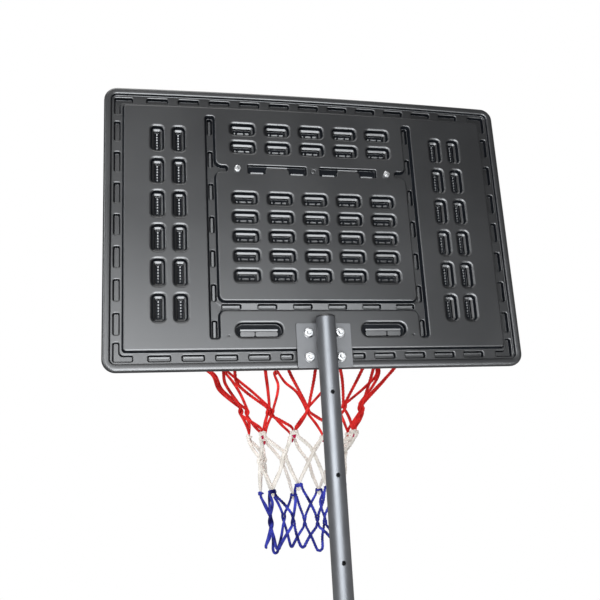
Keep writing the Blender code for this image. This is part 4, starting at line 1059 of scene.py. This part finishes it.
for side in (-1, 1):
    fin = thicken(flat_shape("fin", fin_points), SHEET, 0.0006)
    fin.data.transform(Matrix(((0, 0, 1, -SHEET / 2), (-1, 0, 0, 0), (0, 1, 0, 0), (0, 0, 0, 1))))
    fin_parts.append(place_piece(fin, (side * fin_x, 0, 0)))
    for reach in (-0.0019, 0.0019):
        bead_points = [(side * fin_x + reach, fin_bead_y, fin_bead_low + 0.0018 * step) for step in range(32)]
        fin_parts.append(wire("bead", bead_points, BEAD_RADIUS, 3, 0.25))
rim_bracket = join("finned_bracket", [bracket_plate] + fin_parts)
open_mesh()
face_outwards()
close_mesh()
fit(rim_bracket, 40, "head", "rim_paint", rim_paint, "rim_bracket")
flange_nut = join("flange_nut", [
    turned("flange", [(0.0042, 0.0034), (0.0066, 0.0034), (0.0078, 0.0021), (0.0083, 0.0015),
                      (0.0085, 0.0010), (0.0085, 0.0004), (0.0081, 0.0), (0.0042, 0.0),
                      (0.0042, 0.0034)], 64),
    hexagon("hexagon", 0.0130, 0.0004, 0.0075, 0.0042)])
bolt_seat, nut_seat = bracket_rear - SHEET - CLEAR, plate_high.y + CLEAR
board_bolt = domed_bolt("board_bolt", 0.0039, 0.0085, 0.0045, nut_seat + 0.0105 - bolt_seat, 0.016)
bolt_places = [(x, z) for z in (1.648, 1.689) for x in (-0.027, 0.027)]
for number, (x, z) in enumerate(bolt_places, 1):
    bolt = place_piece(copy_of(board_bolt, f"domed_bolt_{number}"), (x, bolt_seat, z), ALONG_BACK_Y)
    nut = place_piece(copy_of(flange_nut, f"flange_nut_{number}"), (0, 0, 0), (0, 0, 0.35 * number))
    place_piece(nut, (x, nut_seat, z), ALONG_Y)
    for piece, node in ((bolt, f"board_bolt_{number}"), (nut, f"board_nut_{number}")):
        fit(piece, 32, "head", "zinc", zinc, node)
bpy.data.objects.remove(board_bolt)
bpy.data.objects.remove(flange_nut)

# Ring, stays and their fasteners.
# A bent and welded red steel ring with ten wire hooks for the net and a lug on each side; two thin steel
# stays with pressed ends hold it to the board, with one small zinc-plated bolt and nut at each end.
RING_RADIUS, RING_TUBE = 0.195, 0.008
ring_y, ring_z = -0.2566, 1.718
HOOKS, HOOK_LOW = 10, 1.6945
ring_parts = [add_primitive("ring", bpy.ops.mesh.primitive_torus_add, major_radius=RING_RADIUS,
                            minor_radius=RING_TUBE, major_segments=144, minor_segments=28,
                            location=(0, ring_y, ring_z))]
hook_path = ((-0.002, ring_z - 0.005), (-0.0050, HOOK_LOW + 0.0125), (-0.0066, HOOK_LOW + 0.0068),
             (-0.0052, HOOK_LOW + 0.0006), (0.0006, HOOK_LOW - 0.0006), (0.0066, HOOK_LOW + 0.0006),
             (0.0084, HOOK_LOW + 0.0040), (0.0087, HOOK_LOW + 0.0064))
hook = wire("hook", [(RING_RADIUS + out, 0, height) for out, height in hook_path], 0.002, 3)
for number in range(HOOKS):
    turn = 2 * math.pi * (number + 0.5) / HOOKS
    ring_parts.append(place_piece(copy_of(hook, "hook"), (0, ring_y, 0), (0, 0, turn)))
bpy.data.objects.remove(hook)
lug_inner, lug_z, lug_bolt_z = 0.2015, 1.7265, 1.732
for side in (-1, 1):
    lug = thicken(pressed("lug", 0.018, 0.034, 0.0082, (0, 0, 0), (), 7), SHEET, 0.0006)
    lug_x = lug_inner if side > 0 else -lug_inner - SHEET
    ring_parts.append(place_piece(lug, (lug_x, ring_y, lug_z), (math.pi / 2, 0, math.pi / 2)))
ring = join("hooked_ring", ring_parts)
fit(ring, 45, "head", "rim_paint", rim_paint, "rim_ring")
stay_x, stay_z = 0.135, 1.981
stay_y, stay_foot_x = front_y - CLEAR - FLAT_HALF, lug_inner + SHEET + CLEAR + FLAT_HALF
stay_head_y, stay_nut_y = stay_y - FLAT_HALF - CLEAR, board_high.y + CLEAR
foot_head_x, foot_nut_x = stay_foot_x + FLAT_HALF + CLEAR, lug_inner - CLEAR
stay_nut = hexagon("stay_nut", 0.010, 0.0, 0.0052, 0.0032)
stay_bolt = domed_bolt("stay_bolt", 0.0029, 0.0060, 0.0035, stay_nut_y + 0.0075 - stay_head_y, 0.014)
foot_bolt = domed_bolt("foot_bolt", 0.0029, 0.0055, 0.0035, foot_head_x - foot_nut_x + 0.0065, 0.009)
for side, word in SIDES:
    stay = flattened_rod(f"pressed_stay_{word}", (side * stay_x, stay_y, stay_z), (0, -1, 0),
                         (side * stay_foot_x, ring_y, lug_bolt_z), (side, 0, 0), 0.004)
    fit(stay, 60, "head", "rim_paint", rim_paint, f"rim_stay_{word}")
    outward, inward = (ALONG_X, ALONG_BACK_X) if side > 0 else (ALONG_BACK_X, ALONG_X)
    for pattern, node, place, turn in (
            (stay_bolt, f"stay_board_bolt_{word}", (side * stay_x, stay_head_y, stay_z), ALONG_BACK_Y),
            (stay_nut, f"stay_board_nut_{word}", (side * stay_x, stay_nut_y, stay_z), ALONG_Y),
            (foot_bolt, f"stay_ring_bolt_{word}", (side * foot_head_x, ring_y, lug_bolt_z), outward),
            (stay_nut, f"stay_ring_nut_{word}", (side * foot_nut_x, ring_y, lug_bolt_z), inward)):
        piece = place_piece(copy_of(pattern, f"plated_{node}"), place, turn)
        fit(piece, 32, "head", "zinc", zinc, node)
for pattern in (stay_nut, stay_bolt, foot_bolt):
    bpy.data.objects.remove(pattern)

# Net.
# Twisted polyester cord in a red, a white and a blue band. In each band the cords twist round one another at
# ten knots, and the next band's cord is wrapped round the foot of each loop; over the foot of each red loop a
# short piece of darker crimson cord is painted shade.


def smooth_path(points, spacing, closed):
    """A smooth path with short steps through points that each hold a place and a thickness."""
    path = []
    count = len(points)
    for number in range(count if closed else count - 1):
        spots = [number + shift for shift in (-1, 0, 1, 2)]
        spots = [spot % count if closed else min(max(spot, 0), count - 1) for spot in spots]
        places = [points[spot][0] for spot in spots]
        times = [0.0]
        for one, other in zip(places, places[1:]):
            times.append(times[-1] + max(math.sqrt((other - one).length), 0.001))
        steps = max(1, round((places[2] - places[1]).length / spacing))
        for step in range(steps):
            part = step / steps
            now = times[1] + (times[2] - times[1]) * part
            level = places
            for width in (1, 2, 1):
                spans = list(zip(times, times[width:]))[1 if len(level) == 2 else 0:]
                level = [one.lerp(other, (now - start) / (end - start))
                         for one, other, (start, end) in zip(level, level[1:], spans)]
            thick = points[spots[1]][1] * (1 - part) + points[spots[2]][1] * part
            path.append((level[0], thick))
    if not closed:
        path.append(points[-1])
    return path


def cord(name, paths, radius, spacing, closed=True):
    """Three-strand cord along paths, as one mesh."""
    sides, hollow, lay_length = 18, 0.10, radius * 5.2
    outline = bpy.data.curves.new("lay", "CURVE")
    strand = outline.splines.new("POLY")
    strand.points.add(sides - 1)
    for number, point in enumerate(strand.points):
        angle = 2 * math.pi * number / sides
        reach = radius * (1 - hollow + hollow * math.cos(3 * angle))
        point.co = (reach * math.cos(angle), reach * math.sin(angle), 0, 1)
    strand.use_cyclic_u = True
    lay = bpy.data.objects.new("lay", outline)
    bpy.context.collection.objects.link(lay)
    data = bpy.data.curves.new(name, "CURVE")
    data.dimensions = "3D"
    data.twist_mode = "MINIMUM"
    data.bevel_mode = "OBJECT"
    data.bevel_object = lay
    data.use_fill_caps = True
    for points in paths:
        spline = data.splines.new("POLY")
        path = smooth_path(points, spacing, closed)
        spline.points.add(len(path) - 1)
        spline.use_cyclic_u = closed
        turn = 0.0
        last = path[0][0]
        for point, (place, thick) in zip(spline.points, path):
            turn += (place - last).length * 2 * math.pi / lay_length
            last = place
            point.co = (*place, 1)
            point.radius = thick
            point.tilt = turn
    piece = as_mesh(name, data)
    bpy.data.objects.remove(lay)
    return piece


RED, WHITE, BLUE = 0.0033, 0.0038, 0.0030
ASIDE = -0.008
net_rows = ((1.7008, 0.1960, 0.0), (1.5900, 0.1180, 0.0110), (1.5435, 0.1040, 0.0025),
            (1.5000, 0.0850, -0.0040), (1.4410, 0.0850, -0.0040), (1.3870, 0.0700, -0.0020),
            (1.3390, 0.0790, -0.0080))
BOARD_SIDE_TURN = (0, 11, 15, 17, 15, 20, 18)
COURT_SIDE_TURN = (0, 0, 0, 0, 4, 10, 9)
UNEVEN = (0, 0.0020, 0.0020, 0.0030, 0.0035, 0.0045, 0.0020)
POLE_SIDE_IN = (0, 0, 0, 0.11, 0.17, 0.13, 0.10)
HIGH_SLACK, LOW_SLACK, SIDE_BLEND = 0.85, 0.38, 0.3
KNOT_HALF = {1: 0.0065, 3: 0.0065, 5: 0.0100}
UP = Vector((0, 0, 1))


def net_frame(row, column):
    """The place of a joint of the net and its directions along the row and outwards."""
    angle = 2 * math.pi * (column + 0.5 * ((row + 1) % 2)) / HOOKS
    side = min(max(-1.0, math.sin(angle) / SIDE_BLEND), 1.0)
    turn = BOARD_SIDE_TURN[row] * side if side > 0 else -COURT_SIDE_TURN[row] * side
    angle += math.radians(turn)
    height, radius, tilt = net_rows[row]
    height += UNEVEN[row] * math.sin(2.6 * (column % HOOKS) + 1.3 * row)
    out = Vector((math.cos(angle), math.sin(angle), 0))
    place = Vector((ASIDE if row else 0.0, ring_y, height - tilt * math.sin(angle))) + out * radius
    place.x += radius * POLE_SIDE_IN[row] * max(0.0, -math.cos(angle)) ** 3
    return place, UP.cross(out), out


def knot(row, column, side, radius):
    """One of the two cords that twist round each other at a knot, from its top down."""
    place, along, out = net_frame(row, column)
    points = []
    for step in range(13):
        part = step / 12
        turn = math.pi * (part + (1 if side > 0 else 0))
        swing = along * math.cos(turn) + out * math.sin(turn)
        points.append((place + UP * KNOT_HALF[row] * (1 - 2 * part) + swing * radius * 0.80, 0.86))
    return points


def over_hook(column):
    """A loop over a hook of the ring."""
    place, along, _ = net_frame(0, column)
    bend = 0.0050
    turns = [math.radians(angle) for angle in (-85, -45, 0, 45, 85)]
    return [(place + (along * math.sin(turn) + UP * (math.cos(turn) - 1)) * bend, 0.9) for turn in turns]


def wrapped_top(row, column, radius, above):
    """One and a half turns of cord round the foot of a loop of the band above."""
    place, along, out = net_frame(row, column)
    wide, deep = 1.05 * above + 0.5 * radius, 0.55 * above + 0.5 * radius
    leave, drop, climb = wide + 0.0012, 0.0060, 0.0042
    points = [(place - along * leave - UP * drop, 0.85)]
    for step in range(13):
        turn = math.pi * (1 + step / 4)
        rise = (step / 12 - 0.5) * climb
        points.append((place + along * math.cos(turn) * wide - out * math.sin(turn) * deep + UP * rise, 0.72))
    points.append((place + along * leave - UP * drop, 0.85))
    return points


def looped_foot(row, column, radius):
    """The foot of a loop, drawn together where the band below is wrapped round it."""
    place, along, _ = net_frame(row, column)
    right = [(place + along * radius * reach + UP * rise, thick) for reach, rise, thick in (
        (1.1, 0.0095, 0.85), (0.60, 0.0045, 0.58), (0.52, 0.0, 0.52), (0.54, -0.0042, 0.58))]
    left = [(spot - along * 2 * (spot - place).dot(along), thick) for spot, thick in right]
    return left + [(place - UP * 0.0078, 0.70)] + right[::-1]


def free_foot(row, column, radius):
    """The round foot of a loop at the end of the net."""
    place, along, _ = net_frame(row, column)
    bend = radius * (1.7 + 1.1 * math.sin(2.4 * column + 1.0))
    lean = 0.0060 * math.sin(3.7 * column)
    place = place + UP * 0.0050 * math.sin(2.9 * column + 0.7)
    turns = [math.radians(angle) for angle in (-80, -40, 0, 40, 80)]
    return [(place + along * (math.sin(turn) * bend + lean) + UP * (1 - math.cos(turn)) * bend, 1.0)
            for turn in turns]


def sway(one, other, seed):
    """A point midway between two that hangs a little off the straight line."""
    middle = (one[0] + other[0]) / 2
    out = Vector((middle.x, middle.y - ring_y, 0)).normalized()
    return middle + out * 0.0022 * math.sin(seed) + UP.cross(out) * 0.0016 * math.sin(2.3 * seed), 1.0


def hung(high, low):
    """Points between a hook and a knot, on a cord that draws in early at the board and late at the court."""
    points = []
    near = 0.5 + 0.5 * (high[0].y - ring_y) / net_rows[0][1]
    side = high[0].x / net_rows[0][1]
    upper = (0.16 + 0.36 * near) * (1 - HIGH_SLACK * max(0.0, -side) ** 2)
    lower = (0.58 + 0.20 * near) * (1 - LOW_SLACK * side ** 2)
    for drop, inward in ((0.28, upper), (0.58, lower)):
        across = high[0].xy.lerp(low[0].xy, inward)
        points.append((Vector((across.x + ASIDE, across.y, high[0].z + (low[0].z - high[0].z) * drop)), 1.0))
    return points


def band(name, row, radius, above, last):
    """One colour of the net: two closed cords that cross at ten knots."""
    paths = []
    for start in (0, 1):
        points = []
        for column in range(start, start + HOOKS, 2):
            top = wrapped_top(row, column, radius, above) if row else over_hook(column)
            down = knot(row + 1, column + 1, 1, radius)
            foot = (free_foot if last else looped_foot)(row + 2, column + 1, radius)
            rise = knot(row + 1, column + 2, -1, radius)[::-1]
            after = net_frame(row, column + 2)[0], 1.0
            for run, goal in ((top, down[0]), (down, foot[0]), (foot, rise[0]), (rise, after)):
                points += run
                if row == 0 and run is top:
                    points += hung(run[-1], goal)
                elif row == 0 and run is rise:
                    points += hung(goal, run[-1])[::-1]
                else:
                    points.append(sway(run[-1], goal, 1.7 * column + 5.1 * len(points) + row))
        paths.append(points)
    return cord(name, paths, radius, 0.0016)


red_net = band("red_net", 0, RED, 0.0, False)
white_net = band("white_net", 2, WHITE, RED, False)
blue_net = band("blue_net", 4, BLUE, WHITE, True)
# Painted shade: a short, slightly thicker piece of cord in a darker crimson lies over the foot of each red
# loop, where the white cord wraps it, and stands in for the shade there.
red_feet_shade_paths = []
for column in range(HOOKS):
    red_feet_shade_paths.append([(place, thick * 1.10) for place, thick in looped_foot(2, column, RED)[3:6]])
crimson_ends = cord("crimson_ends", red_feet_shade_paths, RED, 0.0008, False)
# The crimson pair of shades is the painted shade at the feet of the red loops.
for piece, dark, light in ((red_net, (0.38, 0.008, 0.008), (0.76, 0.034, 0.030)),
                           (white_net, (0.62, 0.59, 0.54), (0.79, 0.76, 0.71)),
                           (blue_net, (0.006, 0.006, 0.075), (0.052, 0.064, 0.46)),
                           (crimson_ends, (0.34, 0.012, 0.07), (0.50, 0.022, 0.11))):
    fibre = surface(f"{piece.name}_cord", (dark, light), 55.0, (0.62, 0.85), specular=0.06,
                    grain=(2400.0, 0.18, 0.0003))
    fit(piece, 70, "head", "net_cord", fibre, "net")

# Studio.
# A pale floor, soft lights behind the camera, overhead and at the court, bright cards that only gloss sees
# and a plain white surround. The camera stands behind the hoop, below the board, as for the photograph.
SURROUND_LIGHT, SURROUND_GLOSS, HIGH_GLOSS = 0.55, 0.40, 0.12
world = bpy.data.worlds.new("surround")
bpy.context.scene.world = world
world.use_nodes = True
sky = world.node_tree
background = sky.nodes["Background"]
background.inputs["Color"].default_value = (1.0, 1.0, 1.0, 1.0)
toward = add_node(sky, "TexCoord", {})
height = add_node(sky, "SeparateXYZ", {0: toward.outputs["Generated"]})
dim = add_node(sky, "MapRange", {"Value": height.outputs["Z"], "From Min": 0.30, "From Max": 0.70,
                                 "To Min": SURROUND_GLOSS, "To Max": HIGH_GLOSS})
path = add_node(sky, "LightPath", {})
strength = add_node(sky, "MapRange", {"Value": path.outputs["Is Glossy Ray"], "To Min": SURROUND_LIGHT,
                                      "To Max": dim.outputs["Result"]})
seen = add_node(sky, "Math", {0: path.outputs["Is Camera Ray"], 1: strength.outputs["Result"]},
                operation="MAXIMUM")
sky.links.new(seen.outputs[0], background.inputs["Strength"])

FLOOR_RADIUS, FLOOR_CLEAR, FLOOR_FADE = 6.0, 1.3, 3.2
floor = add_primitive("floor", bpy.ops.mesh.primitive_circle_add, vertices=96, radius=FLOOR_RADIUS,
                      fill_type="NGON", location=(0, 0, -0.0005))
floor_paint = bpy.data.materials.new("floor_paint")
floor_paint.use_nodes = True
tree = floor_paint.node_tree
matt = tree.nodes["Principled BSDF"]
matt.inputs["Base Color"].default_value = (0.86, 0.86, 0.86, 1.0)
matt.inputs["Roughness"].default_value = 0.9
where = add_node(tree, "TexCoord", {})
reach = add_node(tree, "VectorMath", {0: where.outputs["Object"]}, operation="LENGTH")
fade = add_node(tree, "MapRange", {"Value": reach.outputs["Value"], "From Min": FLOOR_CLEAR,
                                   "From Max": FLOOR_FADE}, interpolation_type="SMOOTHSTEP")
glow = add_node(tree, "Emission", {})
blend = add_node(tree, "MixShader", {0: fade.outputs["Result"], 1: matt.outputs[0], 2: glow.outputs[0]})
tree.links.new(blend.outputs[0], tree.nodes["Material Output"].inputs["Surface"])
floor.data.materials.append(floor_paint)


def soft_light(name, place, target, width, height, power):
    """A soft rectangular lamp that faces a target."""
    lamp = bpy.data.lights.new(name, "AREA")
    lamp.shape = "RECTANGLE"
    lamp.size = width
    lamp.size_y = height
    lamp.energy = power
    light = bpy.data.objects.new(name, lamp)
    light.location = place
    light.rotation_euler = (Vector(target) - Vector(place)).to_track_quat("-Z", "Y").to_euler()
    bpy.context.collection.objects.link(light)
    return light


def reflection_card(name, place, width, height, brightness):
    """A bright card behind the camera that only gloss sees; it faces the back of the hoop."""
    power = brightness * math.pi * width * height
    card = soft_light(name, place, (place[0], 0.0, place[2]), width, height, power)
    card.data.color = (0.94, 0.97, 1.0)
    card.visible_camera = False
    card.visible_diffuse = False
    card.visible_transmission = False
    return card


cards = [reflection_card("low_card", (0.05, 2.4, 0.84), 2.0, 1.62, 24),
         reflection_card("upper_card", (0.35, 2.4, 2.0), 1.9, 0.7, 7.5),
         reflection_card("floor_card", (0, 1.5, 0.02), 2.0, 1.8, 24)]
cards[2].rotation_euler = (math.pi, 0, 0)
cards.append(reflection_card("left_card", (2.6, 1.0, 2.0), 1.2, 2.4, 12))
cards[3].rotation_euler = (math.pi / 2, 0, math.radians(112))
cards.append(reflection_card("high_card", (0.55, 2.4, 2.5), 0.9, 0.5, 5))
tube_card = reflection_card("tube_card", (0.95, 2.4, 1.45), 2.9, 1.8, 19)
tube_card.data.color = (0.84, 0.91, 1.0)
rest_card = reflection_card("rest_card", (0, 2.4, 1.4), 2.2, 2.4, 1.5)
back = [board, rear_plate]
tubes = [bottom_tube, middle_tube, upper_tube]
rest = [piece for piece in bpy.data.objects if piece.type == "MESH" and piece not in back + tubes + [floor]]
for card, lit in [(card, back) for card in cards] + [(tube_card, tubes), (rest_card, rest)]:
    card.light_linking.receiver_collection = bpy.data.collections.new(card.name)
    for piece in lit:
        card.light_linking.receiver_collection.objects.link(piece)
hoop_middle = (0, 0, 1.4)
soft_light("camera_light", (1.2, 2.8, 1.8), hoop_middle, 1.6, 1.6, 60)
soft_light("top_light", (0.5, 0.6, 4.2), (0, 0, 0.8), 2.4, 2.4, 90)
soft_light("court_light", (-0.9, -3.2, 2.4), (0, -0.2, 1.2), 1.8, 1.8, 70)

camera_place = Vector((0.3175, 1.2016, 1.4167))
camera_target = Vector((0.0361, -0.0236, 1.7479))
CAMERA_ROLL = math.radians(-3.23)
camera_data = bpy.data.cameras.new("camera")
camera_data.lens = 46.27
camera_data.sensor_width = 36.0
camera = bpy.data.objects.new("camera", camera_data)
camera.location = camera_place
aim = (camera_target - camera_place).to_track_quat("-Z", "Y").to_matrix()
camera.rotation_euler = (aim @ Matrix.Rotation(CAMERA_ROLL, 3, "Z")).to_euler()
bpy.context.collection.objects.link(camera)
bpy.context.scene.camera = camera
bpy.context.scene.view_settings.view_transform = "Standard"
